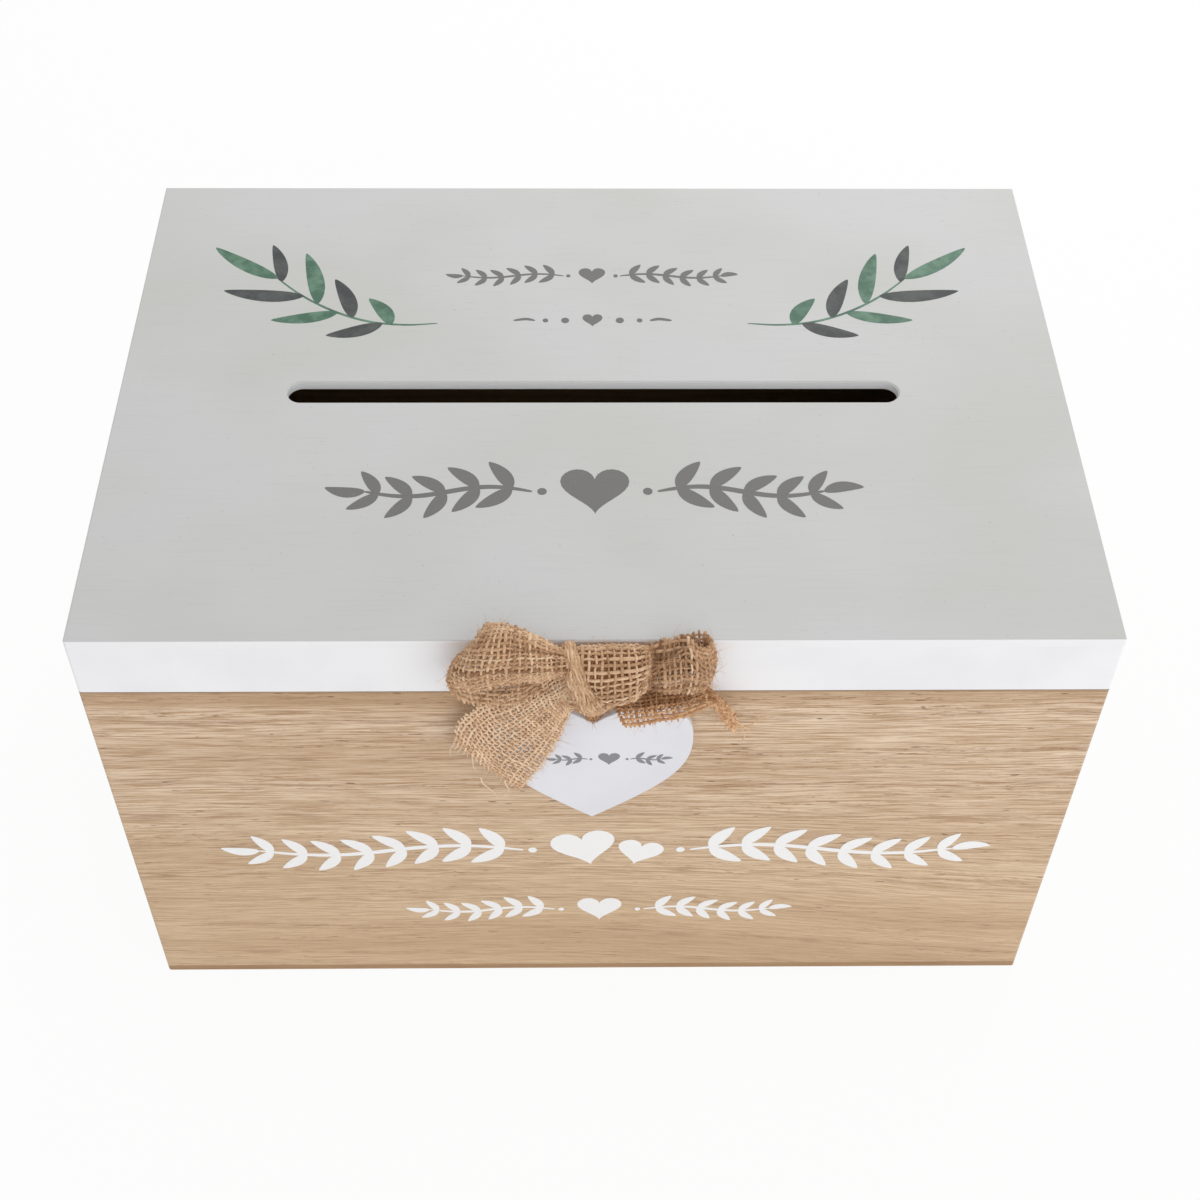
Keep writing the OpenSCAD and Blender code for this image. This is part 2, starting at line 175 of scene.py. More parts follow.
class Shader:
    """One material's or world's node tree, written as expressions."""

    def __init__(self, name: str, world: bpy.types.World | None = None) -> None:
        """Starts an empty material of that name, or empties the tree of the world."""
        self.material = world or bpy.data.materials.new(name)
        self.material.use_nodes = True
        self.tree = self.material.node_tree
        self.tree.nodes.clear()
        self.place = self.node("ShaderNodeTexCoord").outputs["Object"]

    def node(
        self,
        kind: str,
        settings: dict[str, object] | None = None,
        inputs: dict[str | int, object] | None = None,
    ) -> bpy.types.Node:
        """Adds a node.

        Args:
            kind: The node's type.
            settings: Its settings, which are set first; "stops" fills a colour ramp.
            inputs: Values or links of its sockets, by name or number.

        Returns:
            The node.
        """
        made = self.tree.nodes.new(kind)
        for name, setting in (settings or {}).items():
            if name == "stops":
                ramp = made.color_ramp
                while len(ramp.elements) < len(setting):
                    ramp.elements.new(0.5)
                for element, (place, colour) in zip(ramp.elements, setting):
                    element.position = place
                    element.color = colour
            else:
                setattr(made, name, setting)
        for name, value in (inputs or {}).items():
            link = value.socket if isinstance(value, Value) else value
            if isinstance(link, bpy.types.NodeSocket):
                self.tree.links.new(link, made.inputs[name])
            else:
                made.inputs[name].default_value = link
        return made

    def axes(self) -> tuple[Value, Value, Value]:
        """Gives the place on the object in millimetres, as x, y and z."""
        node = self.node("ShaderNodeSeparateXYZ", None, {0: self.place})
        x, y, z = (Value(self, socket) * 1000 for socket in node.outputs)
        return x, y, z

    def vector(self, x: Value | float, y: Value | float, z: Value | float) -> bpy.types.NodeSocket:
        """Joins three numbers into a vector."""
        return self.node("ShaderNodeCombineXYZ", None, {0: x, 1: y, 2: z}).outputs[0]

    def noise(
        self, vector: bpy.types.NodeSocket, scale: float, detail: float = 2.0, rough: float = 0.5
    ) -> Value:
        """Adds soft noise.

        Args:
            vector: Where on the pattern.
            scale: Lumps to one unit of the vector.
            detail: How many finer layers lie on it.
            rough: How strong the finer layers are.

        Returns:
            The noise, about 0.5 at its middle.
        """
        node = self.node(
            "ShaderNodeTexNoise",
            {"noise_dimensions": "3D"},
            {"Vector": vector, "Scale": scale, "Detail": detail, "Roughness": rough},
        )
        return Value(self, node.outputs[0])

    def grain(self, x: object, y: object, z: object, detail: float = 2.0, rough: float = 0.5) -> Value:
        """Adds soft noise with one lump to each unit of x, y and z."""
        return self.noise(self.vector(x, y, z), 1.0, detail, rough)

    def raw_board(self, fibres: Value) -> bpy.types.NodeSocket:
        """Colours bare sanded board by its fibres."""
        return self.mix(fibres.between(0.35, 0.7) * 0.5, BOARD, BOARD_DARK)

    def mix(self, share: Value | float, first: object, second: object) -> bpy.types.NodeSocket:
        """Mixes two colours.

        Args:
            share: Share of the second colour.
            first: Colour or colour socket.
            second: Colour or colour socket.

        Returns:
            The mixed colour.
        """
        node = self.node(
            "ShaderNodeMix", {"data_type": "RGBA"}, {0: share, 6: first, 7: second}
        )
        return node.outputs[2]

    def bump(self, height: Value, depth: float, strength: float = 1.0) -> bpy.types.NodeSocket:
        """Turns a height into a normal.

        Args:
            height: Height, 0 to 1.
            depth: Millimetres between 0 and 1.
            strength: How much of it shows.

        Returns:
            The normal.
        """
        node = self.node(
            "ShaderNodeBump", None, {"Height": height, "Distance": depth * MM, "Strength": strength}
        )
        return node.outputs[0]

    def surface(self, **sockets: object) -> bpy.types.Material:
        """Ends the material with a Principled shader.

        Args:
            **sockets: The shader's sockets, with _ for each space.

        Returns:
            The finished material.
        """
        inputs = {name.replace("_", " "): value for name, value in sockets.items()}
        shader = self.node("ShaderNodeBsdfPrincipled", None, inputs)
        self.node("ShaderNodeOutputMaterial", None, {"Surface": shader.outputs[0]})
        return self.material


class Grain(Enum):
    """The way the grain of a panel runs."""

    ACROSS = "x"
    FORE_AND_AFT = "y"


@dataclass(frozen=True)
class OakVeneer:
    """Clear-lacquered oak veneer outside, bare board on the inner face and the edges."""

    name: str
    grain: Grain
    face: float
    top: float
    arch: float = 118.0
    fade: float = 110.0
    foot: float = 20.0
    light: Colour = paint(236, 212, 184)
    low: Colour = paint(222, 194, 159)
    dark: Colour = paint(180, 145, 108)
    pore: Colour = paint(136, 96, 64)
    knot: Colour = paint(98, 70, 48)
    core: Colour = paint(184, 156, 121)
    bare: Colour = paint(148, 118, 84)

    def material(self) -> bpy.types.Material:
        """Builds the material: broad bands, fine streaks, rings that open into a cathedral, pores, and a
        painted shade band along the top, under the lid.
        """
        s = Shader(self.name)
        x, y, z = s.axes()
        run, depth = (x, y) if self.grain is Grain.ACROSS else (y, x)
        sweep = (run + 30).between(0, 210) * (self.arch - z).between(0, self.fade) * 20
        wander = s.grain(run / 130, z / 36, depth / 60, 2.0)
        ripple = s.grain(run / 24, z / 7, depth / 20, 1.0)
        rise = z + sweep + (wander - 0.5) * 6 + (ripple - 0.5) * 1.7
        high = (z - self.foot).between(0, self.fade)
        bands = s.grain(run / 260, rise / 15, depth / 40, 2.0, 0.5)
        streaks = s.grain(run / 26, rise / 0.64, depth / 3, 4.0, 0.7)
        fibre = s.grain(run / 12, rise / 0.3, depth / 2, 3.0, 0.7)
        ring = ((rise / 2.6 + bands * 6).sine() * 0.5 + 0.5).between(0.86, 1.0)
        broken = s.grain(run / 17, rise / 1.2, depth / 8, 4.0, 0.7).between(0.46, 0.6)
        zone = s.grain(run / 170, rise / 6, depth / 50, 1.0).between(0.46, 0.66)
        dash = s.grain(run / 6, rise / 0.45, depth / 2, 2.0, 0.6).between(0.6, 0.68)
        fleck = s.grain(run / 5, rise / 0.9, depth / 6, 0.0).between(0.82, 0.86)
        # painted shade: the top 9 mm of each panel, just under the lid, is mixed towards the dark colour
        # where the lid's shadow falls
        under = (z - (self.top - 8.7)).between(0.0, 4.0)
        clean = s.mix(high, self.low, self.light)
        wood = s.mix(bands.between(0.3, 0.75) * 0.5 + under * 0.4, clean, self.dark)
        wood = s.mix(streaks.between(0.42, 0.62) * (high * 0.36 + 0.6), wood, self.dark)
        wood = s.mix(ring * broken * (high * 0.1 + 0.36), wood, self.pore)
        wood = s.mix(fibre.between(0.46, 0.68) * (high * 0.14 + 0.32), wood, self.pore)
        wood = s.mix(dash * (zone * 0.7 + 0.2) * (high * 0.4 + 0.6), wood, self.pore)
        wood = s.mix(fleck * (high * 0.4 + 0.4), wood, self.knot)
        seam = (z - (self.top - 0.9)).between(0.0, 0.7)
        wood = s.mix(seam * 0.5, wood, self.pore)
        chips = s.noise(s.place, 900.0, 3.0, 0.7)
        plain = s.grain(run / 34, z / 1.5, depth / 12, 4.0, 0.65)
        board = s.mix(plain.between(0.35, 0.68) * 0.45, self.core, self.bare)
        board = s.mix(chips.between(0.35, 0.7) * 0.25, board, self.dark)
        outer = (depth.absolute() - (self.face - 0.35)).between(0.0, 0.12)
        edge = (self.top - 0.3 - z).between(-0.1, 0.1) * outer
        colour = s.mix(edge, board, wood)
        height = streaks * 0.5 + dash * -0.6 + fibre * 0.25
        return s.surface(
            Base_Color=colour,
            Roughness=0.5 + streaks * 0.14 + dash * 0.15,
            Coat_Weight=0.06,
            Coat_Roughness=0.35,
            Normal=s.bump(height, 0.06, 0.7),
        )


@dataclass(frozen=True)
class BoardEdge:
    """The base board's sawn and sanded edge: darker, close-grained, with saw lines."""

    name: str
    light: Colour = paint(181, 149, 114)
    dark: Colour = paint(150, 114, 80)

    def material(self) -> bpy.types.Material:
        """Builds the material: plies along the edge, fibres under the board."""
        s = Shader(self.name)
        x, y, z = s.axes()
        fibre = s.grain(x / 22, y / 1.1, z / 0.5, 3.0, 0.65)
        blotch = s.noise(s.place, 45.0, 3.0)
        ply = (1.5 - (z - 1.5).absolute()).between(0.2, 1.1)
        share = fibre.between(0.35, 0.7) * 0.55 + blotch.between(0.4, 0.7) * 0.2
        colour = s.mix(share, self.light, self.dark)
        colour = s.mix(ply * 0.25, colour, self.dark)
        return s.surface(
            Base_Color=colour,
            Roughness=0.62 + fibre * 0.15,
            Normal=s.bump(fibre, 0.1, 0.6),
        )


@dataclass(frozen=True)
class LidPaint:
    """Washed pale-grey paint on the lid's top, through which the grain shows; white on its edges.

    low and high are the board's corners. The slot's sizes are the board's own, and its walls are
    taken with a margin round them.
    """

    name: str
    low: Point
    high: Point
    top: Colour = paint(204, 204, 204)
    warm: Colour = paint(198, 199, 194)
    edge: Colour = paint(241, 241, 243)
    speck: Colour = paint(176, 176, 172)
    slot_length: float = 194.0
    slot_width: float = 9.2
    slot_y: float = -1.6
    slot_arris: float = 0.5
    slot_margin: float = 1.5

    def material(self) -> bpy.types.Material:
        """Builds the material: grain ridges, short pores, a few specks, and the board's bare underside."""
        s = Shader(self.name)
        x, y, z = s.axes()
        wander = (s.grain(x / 110, y / 40, 0.0, 2.0) - 0.5) * 5
        across = y + wander
        cloud = s.grain(x / 90, y / 70, 0.0, 2.0)
        grain = s.grain(x / 26, across / 0.9, 0.0, 3.0, 0.6)
        pore = s.grain(x / 5.5, across / 0.42, 3.0, 1.0).between(0.66, 0.76)
        patch = s.grain(x / 60, y / 18, 7.0, 1.0).between(0.45, 0.7)
        dot = s.grain(x / 1.6, y / 1.3, 11.0, 0.0).between(0.83, 0.86)
        colour = s.mix(cloud.between(0.35, 0.7), self.top, self.warm)
        colour = s.mix(grain.between(0.5, 0.75) * 0.14 + pore * patch * 0.42, colour, self.speck)
        colour = s.mix(dot * 0.5, colour, self.speck)
        rub = s.noise(s.place, 420.0, 3.0, 0.6)
        rim = s.mix(rub.between(0.62, 0.8) * 0.12, self.edge, self.top)
        half_x, half_y, top = self.high
        outside = (x.absolute() - (half_x - 0.8)).larger(y.absolute() - (half_y - 0.8)).between(0.0, 0.3)
        colour = s.mix(outside * (top - 0.08 - z).between(0.0, 0.14), colour, rim)
        in_length = (self.slot_length / 2 + self.slot_margin - x.absolute()).between(0.0, 0.3)
        in_width = (self.slot_width / 2 + self.slot_margin - (y - self.slot_y).absolute()).between(0.0, 0.3)
        below = (top - self.slot_arris - z).between(-0.1, 0.2)
        colour = s.mix(in_length * in_width * below * 0.75, colour, self.edge)
        inner_x = (half_x - 0.4 - x.absolute()).between(0.0, 0.2)
        inner_y = (half_y - 0.4 - y.absolute()).between(0.0, 0.2)
        under = (self.low[2] + 0.05 - z).between(0.0, 0.04) * inner_x * inner_y
        colour = s.mix(under, colour, s.raw_board(s.grain(x / 20, y / 1.2, z, 3.0, 0.6)))
        height = grain * 0.5 - pore * patch * 0.9
        return s.surface(
            Base_Color=colour,
            Roughness=0.56 + grain * 0.1,
            Normal=s.bump(height, 0.05, 0.6),
        )


@dataclass(frozen=True)
class WhitePaint:
    """Smooth sprayed white paint over fine board, bare on the faces that stay hidden."""

    name: str
    tone: Colour = paint(243, 243, 245)
    shade: Colour = paint(230, 230, 234)
    hollow: Flat | None = None
    fleck: float = 0.12

    def material(self) -> bpy.types.Material:
        """Builds the material: faint mottling, orange peel, and bare board inside a hollow."""
        s = Shader(self.name)
        x, y, z = s.axes()
        mottle = s.noise(s.place, 28.0, 3.0)
        peel = s.noise(s.place, 700.0, 2.0, 0.6)
        nick = s.noise(s.place, 260.0, 2.0, 0.7).between(0.7, 0.78)
        colour = s.mix(mottle.between(0.35, 0.7) * 0.5, self.tone, self.shade)
        colour = s.mix(nick * self.fleck, colour, BOARD)
        if self.hollow:
            in_x = (self.hollow[0] - x.absolute()).between(-0.1, 0.1)
            in_y = (self.hollow[1] - y.absolute()).between(-0.1, 0.1)
            bare = s.raw_board(s.grain(x / 9, y / 9, z / 0.6, 3.0, 0.6))
            colour = s.mix(in_x * in_y, colour, bare)
        return s.surface(
            Base_Color=colour,
            Roughness=0.42 + mottle * 0.12,
            Normal=s.bump(peel, 0.02, 0.5),
        )


@dataclass(frozen=True)
class Metal:
    """Small hardware: a cast or plated metal with tarnish in its dull patches and bright rubs."""

    name: str
    bright: Colour
    dull: Colour
    rough: float = 0.34
    tarnish: float = 0.6

    def material(self) -> bpy.types.Material:
        """Builds the material: tarnish clouds, fine scratches and pits."""
        s = Shader(self.name)
        x, y, z = s.axes()
        cloud = s.noise(s.place, 190.0, 4.0, 0.65)
        scratch = s.grain(x / 4, y / 4, z / 0.12, 2.0)
        pit = s.noise(s.place, 2600.0, 2.0, 0.6)
        share = cloud.between(0.35, 0.7) * self.tarnish
        colour = s.mix(share, self.bright, self.dull)
        return s.surface(
            Base_Color=colour,
            Metallic=1.0 - share * 0.35,
            Roughness=self.rough + cloud * 0.22 + scratch * 0.08,
            Normal=s.bump(pit * 0.6 + scratch * 0.4, 0.02, 0.5),
        )


@dataclass(frozen=True)
class Hessian:
    """Jute yarn: hairy, dry, straw to brown, each yarn of its own tone."""

    name: str
    pale: Colour = paint(236, 205, 170)
    mid: Colour = paint(206, 166, 129)
    deep: Colour = paint(140, 98, 66)
    lay: float = 2.0

    def material(self) -> bpy.types.Material:
        """Builds the material: fibres laid round each yarn in a twist, over the yarn's own tone."""
        s = Shader(self.name)
        tone = Value(s, s.node("ShaderNodeAttribute", {"attribute_name": "tone"}).outputs["Fac"])
        turn = s.node("ShaderNodeAttribute", {"attribute_name": "twist"}).outputs["Vector"]
        parts = s.node("ShaderNodeSeparateXYZ", None, {0: turn}).outputs
        front, side, along = (Value(s, socket) for socket in parts)
        twist = along * self.lay
        u = front * twist.cosine() - side * twist.sine()
        v = front * twist.sine() + side * twist.cosine()
        fibres = s.grain(u * 1.6, v * 1.6, along * 0.4 + tone * 90, 3.0, 0.65)
        fleck = s.noise(s.place, 2400.0, 2.0, 0.7)
        cloud = s.noise(s.place, 120.0, 2.0)
        level = tone + (fibres - 0.5) * 1.0 + (fleck - 0.5) * 0.35 + (cloud - 0.5) * 0.5
        stops = [(0.05, self.deep), (0.5, self.mid), (0.95, self.pale)]
        colour = s.node("ShaderNodeValToRGB", {"stops": stops}, {0: level}).outputs[0]
        return s.surface(
            Base_Color=colour,
            Roughness=0.88,
            Specular_IOR_Level=0.25,
            Sheen_Weight=0.15,
            Sheen_Roughness=0.5,
            Normal=s.bump(fibres + fleck * 0.3, 0.16, 0.9),
        )


@dataclass(frozen=True)
class Ink:
    """A flat printed or painted motif, a little uneven where the surface shows through."""

    name: str
    tone: Colour
    thin: Colour
    unevenness: float = 0.35
    wash: float = 0.0

    def material(self) -> bpy.types.Material:
        """Builds the material: an even coat, or with wash a watery one."""
        s = Shader(self.name)
        fine = s.noise(s.place, 900.0, 3.0, 0.7)
        pool = s.noise(s.place, 160.0, 3.0, 0.6)
        share = fine.between(0.5, 0.8) * self.unevenness + pool.between(0.35, 0.7) * self.wash
        return s.surface(
            Base_Color=s.mix(share, self.tone, self.thin),
            Roughness=0.55 + fine * 0.15,
            Normal=s.bump(fine, 0.01, 0.4),
        )


def smooth_path(points: np.ndarray, per: int = 8) -> np.ndarray:
    """Runs a smooth curve through points, along the first axis.

    Args:
        points: Points, or rows of points.
        per: Steps between one point and the next.

    Returns:
        The denser points.
    """
    p = np.concatenate([2 * points[:1] - points[1:2], points, 2 * points[-1:] - points[-2:-1]])
    a, b, c, d = (p[k : len(p) - 3 + k] for k in range(4))
    steps = []
    for t in np.arange(per) / per:
        square = (2 * a - 5 * b + 4 * c - d) * t**2
        cube = (3 * b - a - 3 * c + d) * t**3
        steps.append(0.5 * (2 * b + (c - a) * t + square + cube))
    woven = np.stack(steps, 1).reshape((-1, *points.shape[1:]))
    return np.concatenate([woven, points[-1:]])


def sample(values: np.ndarray, place: np.ndarray) -> np.ndarray:
    """Reads a series between its steps.

    Args:
        values: The series, along the first axis.
        place: Where to read it, in steps.

    Returns:
        A value for each place.
    """
    low = np.clip(np.floor(place).astype(int), 0, len(values) - 2)
    share = (place - low).reshape((-1,) + (1,) * (values.ndim - 1))
    return values[low] * (1 - share) + values[low + 1] * share


def evenly(points: np.ndarray, count: int) -> np.ndarray:
    """Spaces a dense path's points evenly.

    Args:
        points: Points, or rows of points, along the first axis.
        count: How many to return.

    Returns:
        The evenly spaced points.
    """
    step = np.linalg.norm(np.diff(points, axis=0), axis=-1)
    step = step.reshape(len(step), -1).mean(1)
    gone = np.concatenate([[0.0], np.cumsum(step)])
    place = np.interp(np.linspace(0, gone[-1], count), gone, np.arange(len(gone)))
    return sample(points, place)


def refit(values: np.ndarray, count: int) -> np.ndarray:
    """Stretches or shrinks a series to a count, evenly by its steps.

    Args:
        values: The series, along the first axis.
        count: How many to return.

    Returns:
        The new series.
    """
    return sample(values, np.linspace(0, len(values) - 1, count))


def drift(rng: np.random.Generator, shape: tuple[int, int], lumps: int) -> np.ndarray:
    """Makes a smooth random field.

    Args:
        rng: Seeded random numbers.
        shape: The field's size.
        lumps: Steps from one lump to the next.

    Returns:
        The field, about -1 to 1.
    """
    coarse = rng.normal(size=(shape[0] // lumps + 4, shape[1] // lumps + 4)) * 0.6
    rows = refit(smooth_path(coarse, 6), shape[0])
    return refit(smooth_path(rows.T, 6), shape[1]).T


@dataclass
class Strand:
    """One yarn or fibre: its line and thickness in millimetres, and its tone, at each point or whole."""

    line: np.ndarray
    radius: np.ndarray
    tone: np.ndarray | float

    def travelled(self) -> np.ndarray:
        """Gives how far along the strand each of its points is."""
        steps = np.linalg.norm(np.diff(self.line, axis=0), axis=1)
        return np.concatenate([[0.0], np.cumsum(steps)])


def mesh_object(name: str, mesh: bpy.types.Mesh, *finishes: bpy.types.Material) -> bpy.types.Object:
    """Puts a mesh in the scene.

    Args:
        name: The piece's name.
        mesh: Its mesh, with its place in it.
        *finishes: Its materials.

    Returns:
        The piece.
    """
    mesh.name = name
    made = bpy.data.objects.new(name, mesh)
    bpy.context.scene.collection.objects.link(made)
    for finish in finishes:
        mesh.materials.append(finish)
    return made


def finished(name: str, bm: bmesh.types.BMesh, *finishes: bpy.types.Material) -> bpy.types.Object:
    """Puts an edit mesh in the scene and frees it.

    Args:
        name: The piece's name.
        bm: The edit mesh.
        *finishes: Its materials.

    Returns:
        The piece.
    """
    mesh = bpy.data.meshes.new(name)
    bm.to_mesh(mesh)
    bm.free()
    return mesh_object(name, mesh, *finishes)


def spin_strands(
    name: str, strands: list[Strand], finish: bpy.types.Material, round_steps: int = 1
) -> bpy.types.Object:
    """Turns strands into one mesh of closed tubes, with each strand's tone and twist on its vertices.

    Args:
        name: The piece's name.
        strands: The yarns and fibres.
        finish: Their material.
        round_steps: The bevel's resolution; 0 gives four sides and 1 gives six.

    Returns:
        The piece.
    """
    curve = bpy.data.curves.new(name, "CURVE")
    curve.dimensions = "3D"
    curve.bevel_depth = MM
    curve.bevel_resolution = round_steps
    for strand in strands:
        spline = curve.splines.new("POLY")
        spline.points.add(len(strand.line) - 1)
        places = np.ones((len(strand.line), 4), np.float32)
        places[:, :3] = strand.line * MM
        spline.points.foreach_set("co", places.ravel())
        spline.points.foreach_set("radius", strand.radius.astype(np.float32))
        spline.use_smooth = True
    shape = bpy.data.objects.new(name + "_line", curve)
    bpy.context.scene.collection.objects.link(shape)
    bpy.context.view_layer.update()
    mesh = bpy.data.meshes.new_from_object(
        shape.evaluated_get(bpy.context.evaluated_depsgraph_get())
    )
    bpy.data.objects.remove(shape)
    sides = 4 + 2 * round_steps
    along = np.concatenate([np.repeat(strand.travelled(), sides) for strand in strands])
    angle = np.arange(len(along)) % sides * (math.tau / sides)
    twist = np.stack([np.cos(angle), np.sin(angle), along], 1).astype(np.float32)
    tones = [np.broadcast_to(strand.tone, len(strand.line)) for strand in strands]
    tone = np.repeat(np.concatenate(tones), sides)
    mesh.attributes.new("twist", "FLOAT_VECTOR", "POINT").data.foreach_set("vector", twist.ravel())
    mesh.attributes.new("tone", "FLOAT", "POINT").data.foreach_set("value", tone.astype(np.float32))
    bm = bmesh.new()
    bm.from_mesh(mesh)
    bmesh.ops.holes_fill(bm, edges=bm.edges, sides=sides)
    bmesh.ops.recalc_face_normals(bm, faces=bm.faces)
    for face in bm.faces:
        face.smooth = True
    bm.to_mesh(mesh)
    bm.free()
    return mesh_object(name, mesh, finish)


@dataclass
class HessianCloth:
    """A length of hessian ribbon, woven yarn by yarn over a surface given by rows of points."""

    name: str
    rows: Rows
    warps: int
    seed: int
    pitch: float = 1.6
    weft_pitch: float = 1.6
    yarn: float = 0.37
    lift: float = 0.3
    hairs: int = 300
    frayed: bool = False
    uneven: float = 0.3
    tone: float = 0.5
    paler: float = 0.0
    strays: Rows = ()
    grid: np.ndarray = field(init=False)
    out: np.ndarray = field(init=False)
    length: float = field(init=False)

    def __post_init__(self) -> None:
        """Lays the surface out at half a yarn's spacing both ways, and shakes it a little."""
        columns = 2 * self.warps + 1
        rows = np.array([evenly(smooth_path(np.array(row)), columns) for row in self.rows])
        dense = smooth_path(rows)
        self.length = float(np.linalg.norm(np.diff(dense, axis=0), axis=-1).sum(0).mean())
        wefts = max(4, round(self.length / self.weft_pitch))
        grid = evenly(dense, 2 * wefts + 1)
        rng = np.random.default_rng(self.seed)
        along, across = np.gradient(grid, axis=0), np.gradient(grid, axis=1)
        for way in (along, across):
            shift = np.zeros(grid.shape[:2])
            for lumps, strength in ((6, 0.8), (2, 0.45), (13, 1.3)):
                shift += drift(rng, grid.shape[:2], lumps) * self.uneven * strength
            unit = way / np.maximum(np.linalg.norm(way, axis=-1, keepdims=True), 1e-6)
            grid = grid + unit * shift[..., None]
        out = np.cross(np.gradient(grid, axis=0), np.gradient(grid, axis=1))
        self.out = out / np.maximum(np.linalg.norm(out, axis=-1, keepdims=True), 1e-6)
        self.grid = grid

    def _yarn(self, rng: np.random.Generator, line: np.ndarray) -> Strand:
        """Gives a line the slubs and tone of one jute yarn."""
        slubs = refit(smooth_path(rng.normal(1, 0.16, max(4, len(line) // 5)), 5), len(line))
        radius = self.yarn * rng.normal(1, 0.12) * np.clip(slubs, 0.7, 1.35)
        if self.frayed:
            radius[-5:] *= np.linspace(1.0, 0.4, 5)
        return Strand(line, radius, float(np.clip(rng.normal(self.tone, 0.2), 0, 1)))

    def yarns(self) -> list[Strand]:
        """Weaves the yarns, over and under each other, with loose ends past the edges."""
        rng = np.random.default_rng(self.seed + 1)
        strands = []
        steps, columns = self.grid.shape[:2]
        wave = np.zeros((steps, columns))
        for i in range(1, columns, 2):
            for j in range(1, steps, 2):
                wave[j, i] = 1 if ((i + j) // 2) % 2 else -1
        for i in range(1, columns, 2):
            line = self.grid[:, i] + self.out[:, i] * (wave[:, i] * self.lift)[:, None]
            if self.frayed:
                line = np.concatenate([line, self._loose_end(rng, line, rng.uniform(0.4, 3.0))])
            yarn = self._yarn(rng, line)
            yarn.tone = yarn.tone + self.paler * np.linspace(0, 1, len(line)) ** 3
            strands.append(yarn)
        for j in range(1, steps, 2):
            line = self.grid[j] - self.out[j] * (wave[j] * self.lift)[:, None]
            first = self._loose_end(rng, line[::-1], rng.uniform(0.1, 0.8))[::-1]
            last = self._loose_end(rng, line, rng.uniform(0.1, 0.8))
            yarn = self._yarn(rng, np.concatenate([first, line, last]))
            yarn.tone += self.paler * (j / steps) ** 3
            strands.append(yarn)
        for stray in self.strays:
            loose = self._yarn(rng, smooth_path(np.array(stray), 6))
            loose.radius *= np.linspace(0.75, 0.25, len(loose.radius))
            loose.tone = 0.9
            strands.append(loose)
        return strands

    def _loose_end(self, rng: np.random.Generator, line: np.ndarray, length: float) -> np.ndarray:
        """Carries a line past its last point, wandering a little.

        Args:
            rng: Seeded random numbers.
            line: The line.
            length: How far it goes on.

        Returns:
            The further points.
        """
        way = line[-1] - line[-3]
        way = way / max(np.linalg.norm(way), 1e-6)
        count = max(2, int(length / 0.9))
        bends = rng.normal(0, 0.28, (count, 3)).cumsum(0)
        steps = way + bends * [1, 0.35, 1]
        steps /= np.linalg.norm(steps, axis=1, keepdims=True)
        return line[-1] + steps.cumsum(0) * (length / count)

    def fuzz(self) -> list[Strand]:
        """Makes the jute's stray hairs, which stand off the cloth on both faces."""
        points = 6
        rng = np.random.default_rng(self.seed + 2)
        steps, columns = self.grid.shape[:2]
        along, across = np.gradient(self.grid, axis=0), np.gradient(self.grid, axis=1)
        strands = []
        for _ in range(self.hairs):
            j, i = rng.integers(1, steps - 1), rng.integers(1, columns - 1)
            side = rng.choice([-1.0, 1.0])
            way = along[j, i] * rng.normal() + across[j, i] * rng.normal()
            way = way / max(np.linalg.norm(way), 1e-6)
            way = way + self.out[j, i] * side * rng.uniform(0.05, 0.55)
            length = rng.uniform(1.2, 4.6)
            curl = rng.normal(0, 0.55, 3) - self.out[j, i] * side * 0.2
            share = np.linspace(0, 1, points)[:, None]
            line = self.grid[j, i] + self.out[j, i] * side * self.yarn * 0.9
            line = line + length * (way * share + curl * share**2 * 0.6)
            line = line + rng.normal(0, 0.06, (points, 3)).cumsum(0)
            radius = np.linspace(rng.uniform(0.035, 0.075), 0.02, points)
            strands.append(Strand(line, radius, float(rng.uniform(0.55, 1.0))))
        return strands

    def build(
        self, finish: bpy.types.Material, fluff: bpy.types.Material
    ) -> tuple[bpy.types.Object, bpy.types.Object]:
        """Builds the woven cloth and its fuzz as two pieces.

        Args:
            finish: The yarns' material.
            fluff: The stray hairs' material.

        Returns:
            The cloth and the fuzz.
        """
        cloth = spin_strands(self.name, self.yarns(), finish)
        hairs = spin_strands(self.name + "_fuzz", self.fuzz(), fluff, 0)
        count = len(cloth.data.vertices)
        log.info("%s: %d yarn vertices, cloth %.1f mm long", self.name, count, self.length)
        return cloth, hairs


